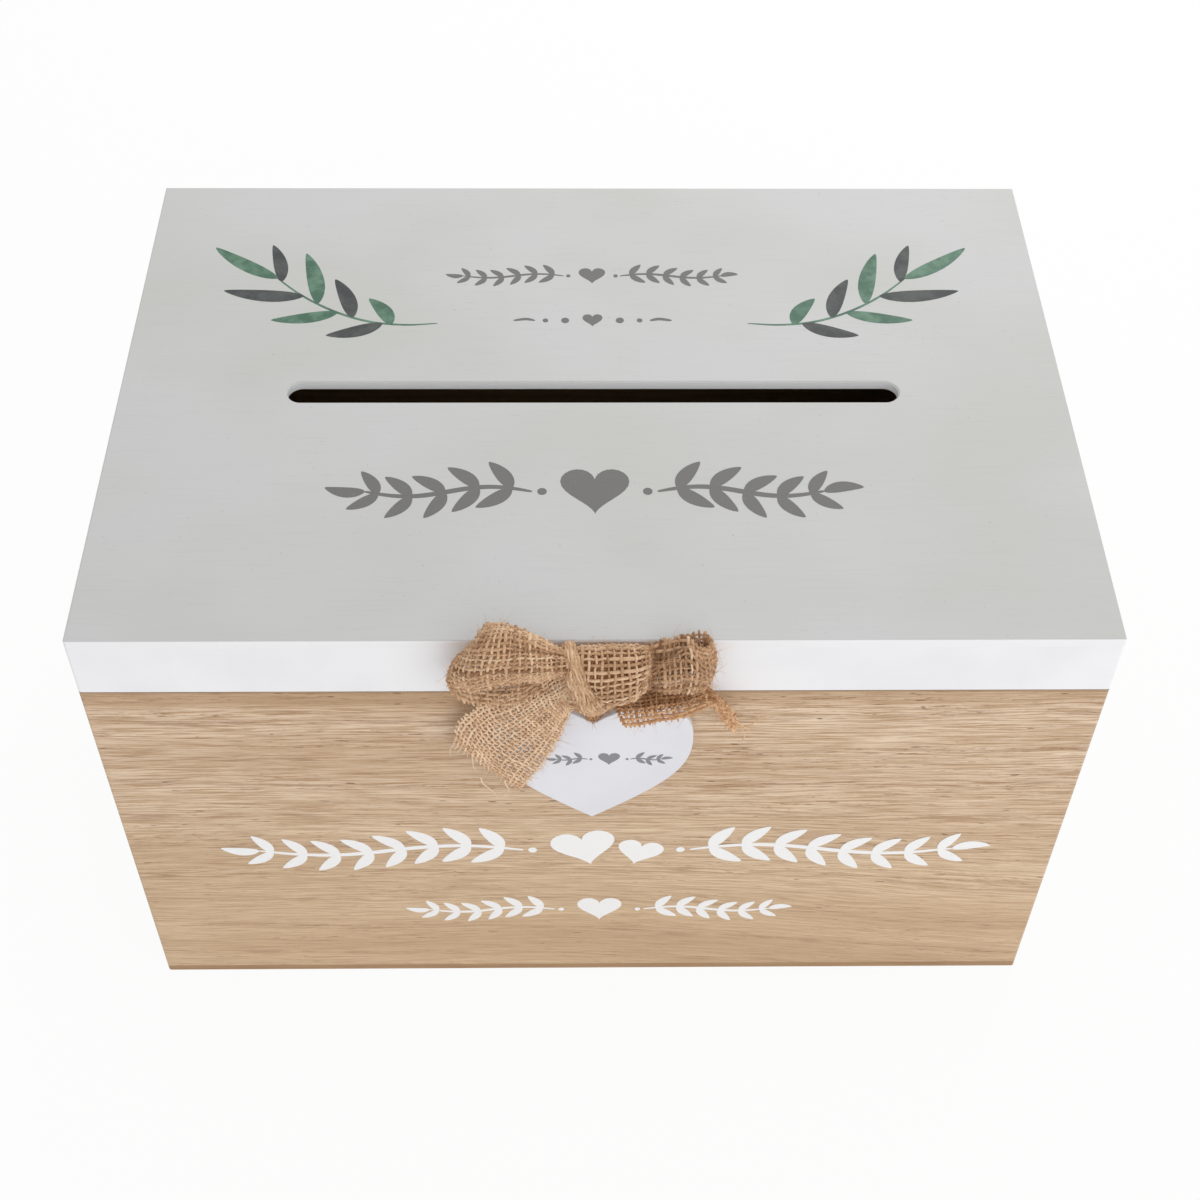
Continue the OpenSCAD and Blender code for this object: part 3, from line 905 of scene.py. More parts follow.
LEFT_LOOP: Rows = (
    ((-6.8, -110.5, 181.7), (-6.5, -113.5, 184.0), (-6.5, -112.5, 181.5), (-6.5, -116.0, 183.5),
     (-6.5, -117.8, 181.5), (-6.8, -116.0, 177.0)),
    ((-11.5, -110.0, 183.5), (-11.3, -113.5, 186.0), (-11.2, -114.2, 184.4), (-11.0, -117.0, 186.0),
     (-10.9, -118.6, 184.0), (-10.9, -117.0, 178.5)),
    ((-16.0, -110.0, 187.5), (-15.8, -114.5, 190.0), (-15.7, -115.8, 187.6), (-15.5, -118.5, 188.5),
     (-15.5, -120.0, 185.0), (-15.6, -118.2, 178.5)),
    ((-21.6, -110.0, 191.0), (-21.4, -115.2, 193.4), (-21.5, -117.0, 190.8), (-21.6, -119.5, 190.3),
     (-22.1, -120.6, 185.4), (-22.6, -118.8, 178.5)),
    ((-26.0, -109.8, 192.8), (-26.8, -115.0, 195.0), (-27.8, -118.5, 192.4), (-28.7, -120.7, 187.0),
     (-29.0, -119.0, 177.0)),
    ((-29.0, -108.8, 192.0), (-31.5, -113.5, 192.0), (-34.9, -117.5, 188.6), (-36.0, -119.2, 182.0),
     (-34.9, -118.6, 174.6)),
    ((-30.6, -107.8, 190.5), (-34.5, -110.6, 185.5), (-39.3, -112.5, 181.0), (-41.7, -114.4, 175.5),
     (-40.4, -116.6, 171.8)),
    ((-30.0, -106.6, 187.0), (-34.5, -107.2, 179.0), (-38.3, -109.5, 174.2), (-39.6, -114.0, 172.0),
     (-38.0, -117.6, 169.6)),
    ((-26.2, -106.1, 185.0), (-30.0, -106.5, 177.5), (-33.2, -109.5, 172.5), (-34.6, -114.5, 171.0),
     (-33.3, -118.3, 167.8)),
    ((-21.6, -106.0, 183.0), (-24.6, -106.5, 175.8), (-27.0, -109.5, 171.2), (-28.0, -114.5, 170.0),
     (-27.4, -118.0, 166.9)),
    ((-16.9, -106.0, 180.0), (-19.0, -106.7, 174.6), (-20.7, -109.0, 170.8), (-21.6, -113.0, 169.2),
     (-21.6, -116.3, 167.2)),
    ((-12.4, -106.3, 177.2), (-13.6, -107.2, 173.8), (-14.6, -109.6, 170.8), (-15.0, -113.5, 168.8)),
    ((-7.6, -107.0, 175.3), (-7.6, -107.8, 172.4), (-7.6, -109.5, 168.0)),
)
RIGHT_LOOP: Rows = (
    ((14.4, -108.5, 181.8), (14.4, -112.0, 179.0), (14.4, -115.0, 176.5), (14.4, -115.2, 172.5),
     (14.4, -113.0, 169.5)),
    ((17.6, -108.3, 183.8), (17.7, -112.5, 179.8), (17.8, -116.8, 181.6), (18.0, -118.4, 177.0),
     (17.8, -116.0, 170.6)),
    ((21.3, -108.2, 185.0), (21.4, -112.6, 182.0), (21.5, -117.0, 185.4), (21.9, -119.2, 179.5),
     (21.6, -116.8, 170.8)),
    ((24.6, -109.6, 186.6), (24.8, -112.4, 185.2), (25.0, -114.8, 188.4), (25.8, -118.4, 182.0),
     (25.4, -116.4, 170.8)),
    ((28.4, -112.6, 186.4), (29.0, -114.8, 185.4), (29.8, -117.0, 180.5), (29.8, -116.8, 175.0),
     (29.2, -115.4, 170.6)),
    ((31.0, -111.0, 184.5), (31.9, -113.0, 182.4), (32.3, -113.8, 178.4), (31.9, -113.9, 173.6),
     (30.4, -113.1, 169.6)),
    ((31.8, -108.6, 184.0), (32.7, -109.4, 181.4), (33.0, -110.0, 177.6), (32.2, -110.4, 172.4),
     (30.2, -110.5, 167.4)),
    ((30.2, -106.8, 185.0), (30.5, -107.0, 181.0), (30.1, -107.2, 177.0), (29.1, -107.5, 171.5),
     (27.6, -107.8, 165.8)),
    ((26.5, -106.2, 184.5), (26.5, -106.4, 180.5), (26.2, -106.6, 176.5), (25.4, -107.0, 171.0),
     (24.2, -107.3, 165.0)),
    ((21.0, -106.1, 181.8), (20.9, -106.4, 177.5), (20.3, -106.8, 171.5), (19.5, -107.2, 165.5)),
    ((14.2, -107.4, 179.0), (14.2, -107.6, 173.0), (14.2, -108.0, 166.5)),
)
LEFT_TAIL: Rows = (
    ((-7.3, -112.6, 179.7), (-6.2, -117.2, 176.3), (-5.4, -117.4, 171.0), (-4.8, -115.8, 165.1)),
    ((-11.5, -111.8, 176.8), (-9.6, -116.2, 172.2), (-8.3, -116.4, 166.9), (-7.4, -114.6, 160.3)),
    ((-16.9, -111.4, 171.4), (-14.2, -114.6, 166.3), (-11.5, -114.7, 160.1), (-8.7, -113.2, 154.0)),
    ((-22.7, -112.0, 166.4), (-19.4, -113.4, 159.5), (-15.0, -113.3, 152.3), (-10.5, -112.1, 145.7)),
    ((-29.4, -111.4, 161.6), (-24.5, -112.3, 152.2), (-18.5, -112.2, 144.1), (-13.0, -111.3, 136.8)),
    ((-35.0, -111.0, 157.1), (-29.0, -111.7, 144.8), (-22.2, -111.7, 136.2), (-16.1, -111.0, 129.6)),
    ((-39.6, -110.8, 150.9), (-33.1, -111.3, 138.0), (-26.0, -111.3, 129.3), (-19.2, -110.8, 122.7)),
    ((-42.6, -110.8, 140.3), (-35.7, -111.1, 132.3), (-28.8, -111.1, 123.6), (-22.7, -110.7, 116.4)),
)
RIGHT_TAIL: Rows = (
    ((5.7, -116.6, 162.8), (4.1, -109.6, 162.0), (4.2, -110.6, 161.2), (5.5, -117.0, 161.9),
     (7.7, -119.8, 159.5)),
    ((12.2, -116.8, 163.5), (11.3, -109.6, 162.4), (11.3, -110.6, 161.6), (12.3, -117.0, 162.2),
     (13.1, -119.8, 159.7)),
    ((18.0, -116.0, 163.4), (17.3, -109.6, 162.8), (17.3, -110.6, 162.0), (18.2, -116.2, 162.0),
     (18.8, -118.6, 159.7)),
    ((23.4, -115.0, 163.4), (23.0, -109.6, 163.2), (23.1, -110.6, 162.4), (24.0, -115.6, 162.0),
     (24.6, -117.3, 160.4)),
    ((28.0, -114.0, 164.0), (27.6, -109.6, 163.8), (27.7, -110.6, 163.1), (28.8, -114.8, 162.8),
     (29.7, -116.1, 162.0)),
    ((32.3, -112.6, 164.5), (31.3, -109.6, 164.5), (31.4, -110.6, 164.0), (32.9, -113.8, 163.3),
     (33.9, -115.0, 162.5)),
    ((34.6, -111.8, 163.2), (34.6, -112.6, 161.6), (34.5, -113.4, 160.0), (34.6, -113.8, 158.4)),
    ((38.0, -111.6, 158.6), (37.8, -112.0, 156.6), (37.5, -112.9, 154.6), (37.3, -113.0, 152.8)),
    ((41.0, -111.5, 152.8), (40.6, -111.3, 151.0), (40.3, -112.2, 149.3), (40.0, -112.4, 147.6)),
)
HANGER: Rows = tuple(
    tuple((-0.9 + half * side, y, z) for side in (-1.0, -0.4, 0.4, 1.0))
    for z, y, half in (
        (164.0, -108.2, 4.4),
        (160.0, -108.8, 4.0),
        (157.0, -109.2, 3.4),
        (154.0, -109.4, 2.7),
        (151.6, -109.6, 2.0),
        (149.6, -109.5, 1.3),
        (148.3, -108.6, 0.9),
        (147.6, -106.9, 0.8),
        (146.6, -105.8, 1.2),
        (143.5, -105.62, 3.6),
        (137.0, -105.62, 4.3),
    )
)
LEFT_STRAYS: Rows = (
    ((-36.8, -111.4, 136.3), (-36.7, -112.2, 133.3), (-36.6, -112.4, 130.8), (-35.6, -112.2, 127.1)),
    ((-34.6, -112.0, 125.0), (-34.1, -112.0, 121.7), (-32.0, -113.0, 120.0), (-30.0, -112.6, 116.3),
     (-28.5, -112.2, 115.2), (-26.9, -112.0, 117.5)),
    ((-27.6, -111.8, 123.0), (-27.1, -111.9, 120.5), (-26.3, -112.4, 118.6), (-27.9, -112.0, 116.5)),
    ((-41.0, -111.8, 144.6), (-41.5, -111.9, 142.2), (-43.1, -112.4, 139.0), (-43.1, -112.0, 135.0)),
)
RIGHT_STRAYS: Rows = (
    ((36.0, -111.6, 158.0), (40.2, -111.5, 150.0), (41.5, -111.4, 147.9), (44.2, -112.0, 149.6),
     (46.7, -112.0, 152.0), (49.1, -111.6, 154.8)),
    ((37.0, -111.8, 156.0), (40.7, -111.4, 150.8), (43.0, -111.8, 146.9), (43.5, -111.6, 143.3),
     (42.2, -111.4, 141.1)),
    ((34.0, -112.0, 158.0), (36.4, -112.0, 154.4), (37.8, -112.0, 149.6), (36.9, -111.8, 146.0)),
    ((38.0, -111.6, 154.0), (41.0, -112.2, 151.6), (44.6, -111.8, 147.4), (45.4, -111.6, 144.0)),
)


@dataclass(frozen=True)
class KnotForm:
    """The knot's round form, as an oval section at each station along x, in millimetres."""

    stations: Series = (-7.0, -3.0, 1.5, 6.0, 10.5, 14.0, 15.6)
    middles: Series = (173.2, 173.7, 175.0, 175.3, 175.6, 175.5, 174.5)
    half_heights: Series = (10.3, 10.7, 9.6, 9.2, 8.3, 6.3, 4.7)
    half_depths: Series = (7.0, 7.6, 7.8, 7.5, 7.0, 5.2, 3.6)
    back: float = -106.0
    band_turns: Series = (-40, 0, 45, 90, 135, 180, 215)
    band_middles: Series = (-8.0, -7.7, -6.2, -3.4, -0.6, 2.0, 3.6)
    width_turns: Series = (-40, 0, 60, 120, 180, 215)
    band_halves: Series = (1.7, 2.0, 3.2, 3.6, 4.0, 3.0)
    pleat: tuple[Flat, ...] = ((-1.0, 0.2), (-0.7, 1.1), (0.0, 1.7), (0.7, 1.2), (1.0, 0.3))

    def point(self, x: float, turn: float, proud: float = 0.0) -> Point:
        """Finds a point of the knot.

        Args:
            x: Where along it.
            turn: Degrees round it from its top, over the front.
            proud: How far outside it.

        Returns:
            The point.
        """
        middle, height, depth = (
            float(np.interp(x, self.stations, sizes))
            for sizes in (self.middles, self.half_heights, self.half_depths)
        )
        a = math.radians(turn)
        y = self.back - depth - (depth + proud) * math.sin(a)
        return x, y, middle + (height + proud) * math.cos(a)

    def wrap(self) -> Rows:
        """Lays the ribbon round the knot, from the back over the top and front."""
        turns = np.linspace(-62, 248, 13)
        return tuple(tuple(self.point(x, turn) for x in self.stations) for turn in turns)

    def band(self) -> Rows:
        """Lays the gathered band across the knot, slanting down to the right."""
        rows = []
        for turn in np.linspace(-40, 215, 12):
            middle = np.interp(turn, self.band_turns, self.band_middles)
            half = np.interp(turn, self.width_turns, self.band_halves)
            rows.append(tuple(self.point(middle + half * k, turn, proud) for k, proud in self.pleat))
        return tuple(rows)


class Hold(Enum):
    """How a length of ribbon is kept in its shape."""

    FOLDED = "folded"
    GATHERED = "gathered"
    HUNG = "hung"


@dataclass(frozen=True)
class Bend:
    """Where a ribbon crosses from one body to the next, in millimetres along the height."""

    upper: str
    lower: str
    x: float
    y: float
    top: float
    bottom: float

    def carry(self, piece: bpy.types.Object) -> bpy.types.Object:
        """Bakes a piece's place into its mesh; the bend's two ends are worked out but not used.

        Args:
            piece: The piece.

        Returns:
            The same piece.
        """
        start, end = ((self.x * MM, self.y * MM, z * MM) for z in (self.top, self.bottom))
        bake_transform(piece)
        return piece


@dataclass
class Bow:
    """The tied hessian ribbon: two loops, two tails, a knot and the strip that holds the heart.

    The ribbon's yarns lie 1.6 mm apart when it is flat, and crowd together where it is gathered.
    """

    knot: KnotForm = KnotForm()
    fuzz: bpy.types.Material = field(init=False)
    fresh: Hessian = Hessian("hessian")
    shaded: Hessian = Hessian(
        "hessian in shade", paint(240, 202, 160), paint(196, 143, 98), paint(142, 96, 60)
    )
    # painted light: a paler copy of the same jute, for the left tail, which catches more light than the rest
    # of the bow
    painted_lit_copy: Hessian = Hessian(
        "hessian bleached", paint(244, 215, 182), paint(228, 192, 156), paint(184, 140, 104)
    )
    fluff: Hessian = Hessian(
        "hessian fluff", paint(232, 190, 146), paint(220, 168, 120), paint(196, 138, 92)
    )

    def build(self) -> list[bpy.types.Object]:
        """Weaves every length of the bow and hangs it on the lid; the left tail and the heart's hanger, which
        bend between two bodies, only have their place baked into their meshes.
        """
        fresh, shaded = self.fresh.material(), self.shaded.material()
        painted_lit_copy = self.painted_lit_copy.material()
        self.fuzz = self.fluff.material()
        rim, knot = "lid_front_rim", "bow_knot_cloth"
        at_tail = Bend("lid", "left_tail", x=-20.0, y=-112.0, top=162.5, bottom=158.5)
        at_heart = Bend("lid", "heart", x=-0.9, y=-105.8, top=159.5, bottom=154.5)
        left_loop = HessianCloth(
            "bow_left_loop_cloth", LEFT_LOOP, 17, 11, yarn=0.405, lift=0.34, hairs=1300,
            uneven=0.38, tone=0.55,
        )
        made = self.length_of(left_loop, fresh, "lid", Hold.FOLDED, (rim, knot), "bow_left_loop")
        right_loop = HessianCloth(
            "bow_right_loop_cloth", RIGHT_LOOP, 13, 23, 1.7, 1.7, yarn=0.44, hairs=800, tone=0.38
        )
        made += self.length_of(right_loop, fresh, "lid", Hold.FOLDED, (rim, knot), "bow_right_loop")
        wrap = HessianCloth(
            knot, self.knot.wrap(), 14, 31, 1.75, 1.75, yarn=0.41, lift=0.34, hairs=700, uneven=0.4, tone=0.58
        )
        made += self.length_of(wrap, fresh, "lid", Hold.FOLDED, (rim,), "bow_knot")
        band = self.knot.band()
        gather = HessianCloth(
            "bow_gather_cloth", band, 14, 47, weft_pitch=3.0, yarn=0.36, hairs=400, uneven=0.35, tone=0.6
        )
        made += self.length_of(gather, fresh, "lid", Hold.GATHERED, (knot,))
        right_tail = HessianCloth(
            "bow_right_tail_cloth", RIGHT_TAIL, 14, 53, yarn=0.42, hairs=1000, frayed=True,
            tone=0.52, paler=0.5, strays=RIGHT_STRAYS,
        )
        made += self.length_of(right_tail, shaded, "lid", Hold.FOLDED, (knot,), "bow_right_tail")
        left_tail = HessianCloth(
            "bow_left_tail_cloth", LEFT_TAIL, 19, 61, yarn=0.34, hairs=1300, frayed=True,
            tone=0.76, strays=LEFT_STRAYS,
        )
        made += self.length_of(left_tail, painted_lit_copy, at_tail, Hold.HUNG, (knot,), "bow_left_tail")
        hanger = HessianCloth(
            "heart_hanger_cloth", HANGER, 7, 71, yarn=0.3, lift=0.2, hairs=90, uneven=0.12, tone=0.25
        )
        made += self.length_of(hanger, shaded, at_heart, Hold.HUNG, (knot, "heart_painted"), "heart_hanger")
        made.append(self.core(shaded))
        return made

    def length_of(
        self,
        cloth: HessianCloth,
        finish: bpy.types.Material,
        body: str | Bend,
        hold: Hold,
        rests_on: tuple[str, ...],
        *nodes: str,
    ) -> list[bpy.types.Object]:
        """Args:
            cloth: The length.
            finish: Its material.
            body: The body that it rides on, or where it bends between two.
            hold: What keeps its shape; not used.
            rests_on: What it lies on or hangs from; not used.
            *nodes: Frame nodes that it stands for.

        Returns:
            The cloth and its fuzz.
        """
        woven, hairs = cloth.build(finish, self.fuzz)
        for piece in (woven, hairs):
            carried = body.carry(piece) if isinstance(body, Bend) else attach(piece, body)
        if nodes:
            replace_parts(woven, *nodes)
        flat = (cloth.warps * cloth.pitch * MM, cloth.length * MM)
        return [woven, hairs]

    def core(self, finish: bpy.types.Material) -> bpy.types.Object:
        """Packs the knot with the ribbon rolled up inside it, of which little shows."""
        bm = bmesh.new()
        bmesh.ops.create_cone(bm, cap_ends=True, segments=28, radius1=1.0, radius2=1.0, depth=21.0)
        bmesh.ops.rotate(bm, verts=bm.verts, matrix=Matrix.Rotation(math.pi / 2, 3, "Y"))
        bmesh.ops.translate(bm, verts=bm.verts, vec=(4.2, 0, 0))
        for x in self.knot.stations[1:-1]:
            every = list(bm.verts) + list(bm.edges) + list(bm.faces)
            bmesh.ops.bisect_plane(bm, geom=every, plane_co=(x, 0, 0), plane_no=(1, 0, 0))
        for vert in bm.verts:
            turn = math.degrees(math.atan2(-vert.co.y, vert.co.z))
            vert.co = self.knot.point(vert.co.x, turn, -1.1)
        rng = np.random.default_rng(5)
        for vert in bm.verts:
            vert.co += Vector(rng.normal(0, 0.18, 3))
        bmesh.ops.scale(bm, verts=bm.verts, vec=(MM, MM, MM))
        for face in bm.faces:
            face.smooth = True
        core = finished("bow_knot_core", bm, finish)
        # painted shade: the core takes the shaded jute copy at a low tone, so its glimpses between the yarns
        # read as ribbon in shadow
        tones = np.full(len(core.data.vertices), 0.28, np.float32)
        core.data.attributes.new("tone", "FLOAT", "POINT").data.foreach_set("value", tones)
        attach(core, "lid")
        return core


class Motif:
    """Flat drawn shapes on one face of the box, as thin closed plates of ink.

    Each shape lies a step above the one before, so that no two faces share a plane.
    """

    STEP = 0.003
    THICKNESS = 0.07
    SUNK = 0.03

    def __init__(self, name: str, origin: Point, right: Point, up: Point) -> None:
        """Starts a drawing.

        Args:
            name: The piece's name.
            origin: The drawing's origin on the face, in millimetres.
            right: Which way its x runs.
            up: Which way its y runs.
        """
        self.name = name
        across, above = Vector(right), Vector(up)
        self.frame = Matrix.Translation(Vector(origin)) @ Matrix(
            (across, above, across.cross(above))
        ).transposed().to_4x4()
        self.bm = bmesh.new()
        self.layer = 0

    def _outline(self, points: list[Flat], finish: int = 0) -> None:
        """Fills a closed outline.

        Args:
            points: Its corners in order.
            finish: Which of the materials it takes.
        """
        ring = bmesh.ops.create_circle(self.bm, cap_ends=True, segments=len(points), radius=1.0)
        corners = sorted(ring["verts"], key=lambda v: math.atan2(v.co.y, v.co.x) % math.tau)
        for corner, (x, y) in zip(corners, points):
            corner.co = (x, y, self.layer * self.STEP)
        for face in corners[0].link_faces:
            face.material_index = finish
        self.layer += 1

    def heart(self, x: float, y: float, size: float, turn: float = 0.0) -> None:
        """Draws a filled heart.

        Args:
            x: Its middle.
            y: Its middle.
            size: Its width.
            turn: Degrees it leans, anticlockwise.
        """
        points = []
        for t in np.linspace(0, math.tau, 40, endpoint=False):
            u = 16 * math.sin(t) ** 3
            v = 13 * math.cos(t) - 5 * math.cos(2 * t) - 2 * math.cos(3 * t) - math.cos(4 * t) + 2.5
            points.append((u * size / 32, v * size / 32))
        self._outline(self._placed(points[::-1], x, y, turn))

    def leaf(
        self,
        x: float,
        y: float,
        length: float,
        width: float,
        turn: float,
        bow: float = 0.12,
        finish: int = 0,
    ) -> None:
        """Draws a pointed leaf that starts at a point of the stem.

        Args:
            x: Where it leaves the stem.
            y: Where it leaves the stem.
            length: Its length.
            width: Its width.
            turn: The way it points, in degrees.
            bow: How far it bows sideways, as a share of its length.
            finish: Which of the materials it takes.
        """
        points = []
        for t in np.linspace(0, math.tau, 28, endpoint=False):
            u = (1 - math.cos(t)) / 2
            half = width / 2 * math.sin(t) * abs(math.sin(t)) ** 0.35 * (1.15 - 0.45 * u)
            points.append((u * length, half + bow * length * 3 * u * (1 - u)))
        self._outline(self._placed(points[::-1], x, y, turn), finish)

    def dot(self, x: float, y: float, radius: float) -> None:
        """Draws a round dot."""
        ring = np.linspace(0, math.tau, 20, endpoint=False)
        self._outline([(x + radius * math.cos(t), y + radius * math.sin(t)) for t in ring])

    def stroke(self, points: list[Flat], weight: float) -> None:
        """Draws a curved line that thins towards its ends.

        Args:
            points: Points that it runs through.
            weight: Its thickness at the middle.
        """
        line = smooth_path(np.array(points, float), 6)
        way = np.gradient(line, axis=0)
        way /= np.linalg.norm(way, axis=1, keepdims=True)
        side = np.stack([-way[:, 1], way[:, 0]], 1)
        share = np.linspace(0, 1, len(line))
        half = weight / 2 * (0.3 + 0.7 * np.sin(share * math.pi) ** 0.5)[:, None]
        there, back = line - side * half, (line + side * half)[::-1]
        self._outline([tuple(p) for p in np.concatenate([there, back])])

    @staticmethod
    def mirrored(turn: float, way: int) -> float:
        """Turns a direction in degrees over for the left side, where way is -1."""
        return turn if way > 0 else 180 - turn

    @staticmethod
    def _placed(points: list[Flat], x: float, y: float, turn: float) -> list[Flat]:
        """Turns an outline by degrees and moves it."""
        c, s = math.cos(math.radians(turn)), math.sin(math.radians(turn))
        return [(x + u * c - v * s, y + u * s + v * c) for u, v in points]

    def _put_in_order(self) -> None:
        """Sorts the faces by their vertices, because extruding leaves them in any order."""
        self.bm.verts.index_update()
        count = len(self.bm.verts)

        def rank(face: bmesh.types.BMFace) -> float:
            """Makes one number of a face's three lowest vertex numbers."""
            low, middle, high = sorted(v.index for v in face.verts)[:3]
            return float((low * count + middle) * count + high)

        self.bm.faces.sort(key=rank)

    def build(self, *finishes: bpy.types.Material) -> bpy.types.Object:
        """Gives the drawing its thickness, puts it on its face and hands it over."""
        bmesh.ops.recalc_face_normals(self.bm, faces=self.bm.faces)
        for face in self.bm.faces:
            if face.normal.z < 0:
                face.normal_flip()
        bmesh.ops.triangulate(self.bm, faces=self.bm.faces)
        base = list(self.bm.faces)
        raised = bmesh.ops.extrude_face_region(self.bm, geom=base, use_keep_orig=True)
        top = [v for v in raised["geom"] if isinstance(v, bmesh.types.BMVert)]
        bmesh.ops.translate(self.bm, verts=top, vec=(0, 0, self.THICKNESS))
        bmesh.ops.reverse_faces(self.bm, faces=base)
        bmesh.ops.recalc_face_normals(self.bm, faces=self.bm.faces)
        bmesh.ops.translate(self.bm, verts=self.bm.verts, vec=(0, 0, -self.SUNK))
        bmesh.ops.transform(self.bm, matrix=Matrix.Scale(MM, 4) @ self.frame, verts=self.bm.verts)
        self._put_in_order()
        return finished(self.name, self.bm, *finishes)


def dress(node: str, finish: bpy.types.Material) -> None:
    """Gives a frame node its finish.

    Args:
        node: The node's name.
        finish: The material.
    """
    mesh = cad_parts[node].data
    mesh.materials.clear()
    mesh.materials.append(finish)
    for polygon in mesh.polygons:
        polygon.material_index = 0
    log.info("%s: %s", node, finish.name)


@dataclass(frozen=True)
class Lamp:
    """A square lamp that faces the box: its place and side in metres, and its power in watts."""

    name: str
    place: Point
    size: float
    power: float
    aim: Point = (0, 0, 0.1)

    def hang(self) -> None:
        """Puts the lamp in the scene."""
        lamp = bpy.data.lights.new(self.name, "AREA")
        lamp.size = self.size
        lamp.energy = self.power
        made = bpy.data.objects.new(self.name, lamp)
        turn = (Vector(self.aim) - Vector(self.place)).to_track_quat("-Z", "Y")
        made.matrix_world = Matrix.Translation(self.place) @ turn.to_matrix().to_4x4()
        bpy.context.scene.collection.objects.link(made)


@dataclass
class Studio:
    """The white floor, soft light and camera; the camera's focal length and drop are in pixels."""

    eye: Point = (-6.9907, -441.8129, 579.6121)
    yaw: float = 1.32903
    pitch: float = 49.69882
    roll: float = -0.87056
    focal: float = 1858.0148
    drop: float = 35.43
    picture_width: float = 1200
    sensor: float = 36.0
    sky: float = 0.62
    key: Lamp = Lamp("key", (0.25, 0.78, 0.85), 0.7, 4.6)
    fill: Lamp = Lamp("fill", (0.8, -1.65, 0.8), 2.2, 18.2)
    floor_radius: float = 4.0
    floor_drop: float = 0.0001

    def camera(self) -> None:
        """Places the camera."""
        yaw, pitch, roll = (math.radians(a) for a in (self.yaw, self.pitch, self.roll))
        ahead = Vector(
            (math.sin(yaw) * math.cos(pitch), math.cos(yaw) * math.cos(pitch), -math.sin(pitch))
        )
        right = Vector((math.cos(yaw), -math.sin(yaw), 0))
        down = ahead.cross(right)
        level = right * math.cos(roll) + down * math.sin(roll)
        below = down * math.cos(roll) - right * math.sin(roll)
        turn = Matrix((level, -below, -ahead)).transposed().to_4x4()
        lens = bpy.data.cameras.new("camera")
        lens.sensor_width = self.sensor
        lens.lens = self.focal / self.picture_width * self.sensor
        lens.shift_y = self.drop / self.picture_width
        lens.clip_start = 0.01
        eye = bpy.data.objects.new("camera", lens)
        eye.matrix_world = Matrix.Translation(Vector(self.eye) * MM) @ turn
        bpy.context.scene.collection.objects.link(eye)
        bpy.context.scene.camera = eye

    def floor(self) -> None:
        """Lays the white floor, which the camera sees as paper white under a faint shadow."""
        s = Shader("floor white")
        rays = s.node("ShaderNodeLightPath")
        seen = Value(s, rays.outputs["Is Camera Ray"]).larger(Value(s, rays.outputs["Is Glossy Ray"]))
        seen = seen.larger(Value(s, rays.outputs["Is Transmission Ray"]))
        paper = s.node("ShaderNodeBsdfDiffuse", None, {"Color": (0.86, 0.86, 0.86, 1.0)})
        glow = s.node("ShaderNodeEmission", None, {"Color": (1.0, 1.0, 1.0, 1.0), "Strength": 1.0})
        both = s.node(
            "ShaderNodeMixShader", None, {0: seen * 0.93, 1: paper.outputs[0], 2: glow.outputs[0]}
        )
        s.node("ShaderNodeOutputMaterial", None, {"Surface": both.outputs[0]})
        bm = bmesh.new()
        bmesh.ops.create_circle(bm, cap_ends=True, segments=64, radius=self.floor_radius)
        bmesh.ops.translate(bm, verts=bm.verts, vec=(0, 0, -self.floor_drop))
        finished("floor", bm, s.material)

    def lights(self) -> None:
        """Hangs two wide soft lamps in an even white room."""
        world = bpy.data.worlds.new("room")
        bpy.context.scene.world = world
        s = Shader("room", world)
        white = (1.0, 1.0, 1.0, 1.0)
        rays = s.node("ShaderNodeLightPath")
        seen = Value(s, rays.outputs["Is Camera Ray"]).larger(Value(s, rays.outputs["Is Transmission Ray"]))
        unlit, lit = (
            s.node("ShaderNodeBackground", None, {"Color": white, "Strength": strength}).outputs[0]
            for strength in (self.sky, 1.0)
        )
        both = s.node("ShaderNodeMixShader", None, {0: seen, 1: unlit, 2: lit})
        s.node("ShaderNodeOutputWorld", None, {"Surface": both.outputs[0]})
        self.key.hang()
        self.fill.hang()

    def build(self) -> None:
        """Sets up the view, floor and lights."""
        bpy.context.scene.view_settings.view_transform = "Standard"
        self.camera()
        self.floor()
        self.lights()


@dataclass(frozen=True)
class Laurel:
    """A laurel twig: paired leaves on a gently waving stem, from start to end off the middle."""

    start: float
    end: float
    swing: float
    pairs: int
    leaf: float
    width: float
    weight: float
    spread: float = 47.0

    def draw(self, m: Motif, way: int) -> None:
        """Draws the twig.

        Args:
            m: The motif.
            way: -1 to the left or 1 to the right.
        """
        reach = self.end - self.start - self.leaf * 0.9

        def stem(p: float) -> Flat:
            """Finds a place on the stem, p from 0 to 1."""
            return way * (self.start + reach * p), self.swing * math.sin(p * math.tau)

        m.stroke([stem(p) for p in np.linspace(0, 1, 13)], self.weight)
        for k in range(self.pairs):
            p = (k + 0.6) / self.pairs
            slope = math.degrees(math.atan2(self.swing * math.tau * math.cos(p * math.tau), reach))
            size = 1.06 - 0.22 * p
            for side in (1, -1):
                turn = m.mirrored(slope + self.spread * side, way)
                m.leaf(*stem(p), self.leaf * size, self.width * size, turn, 0.07 * side * way)
        m.leaf(*stem(1.0), self.leaf * 0.95, self.width * 0.9, m.mirrored(8, way))
        m.dot(way * (self.start - self.weight * 1.6), 0.0, self.weight * 0.75)

    def draw_both(self, m: Motif) -> None:
        """Draws the twig to the left and to the right."""
        for way in (-1, 1):
            self.draw(m, way)


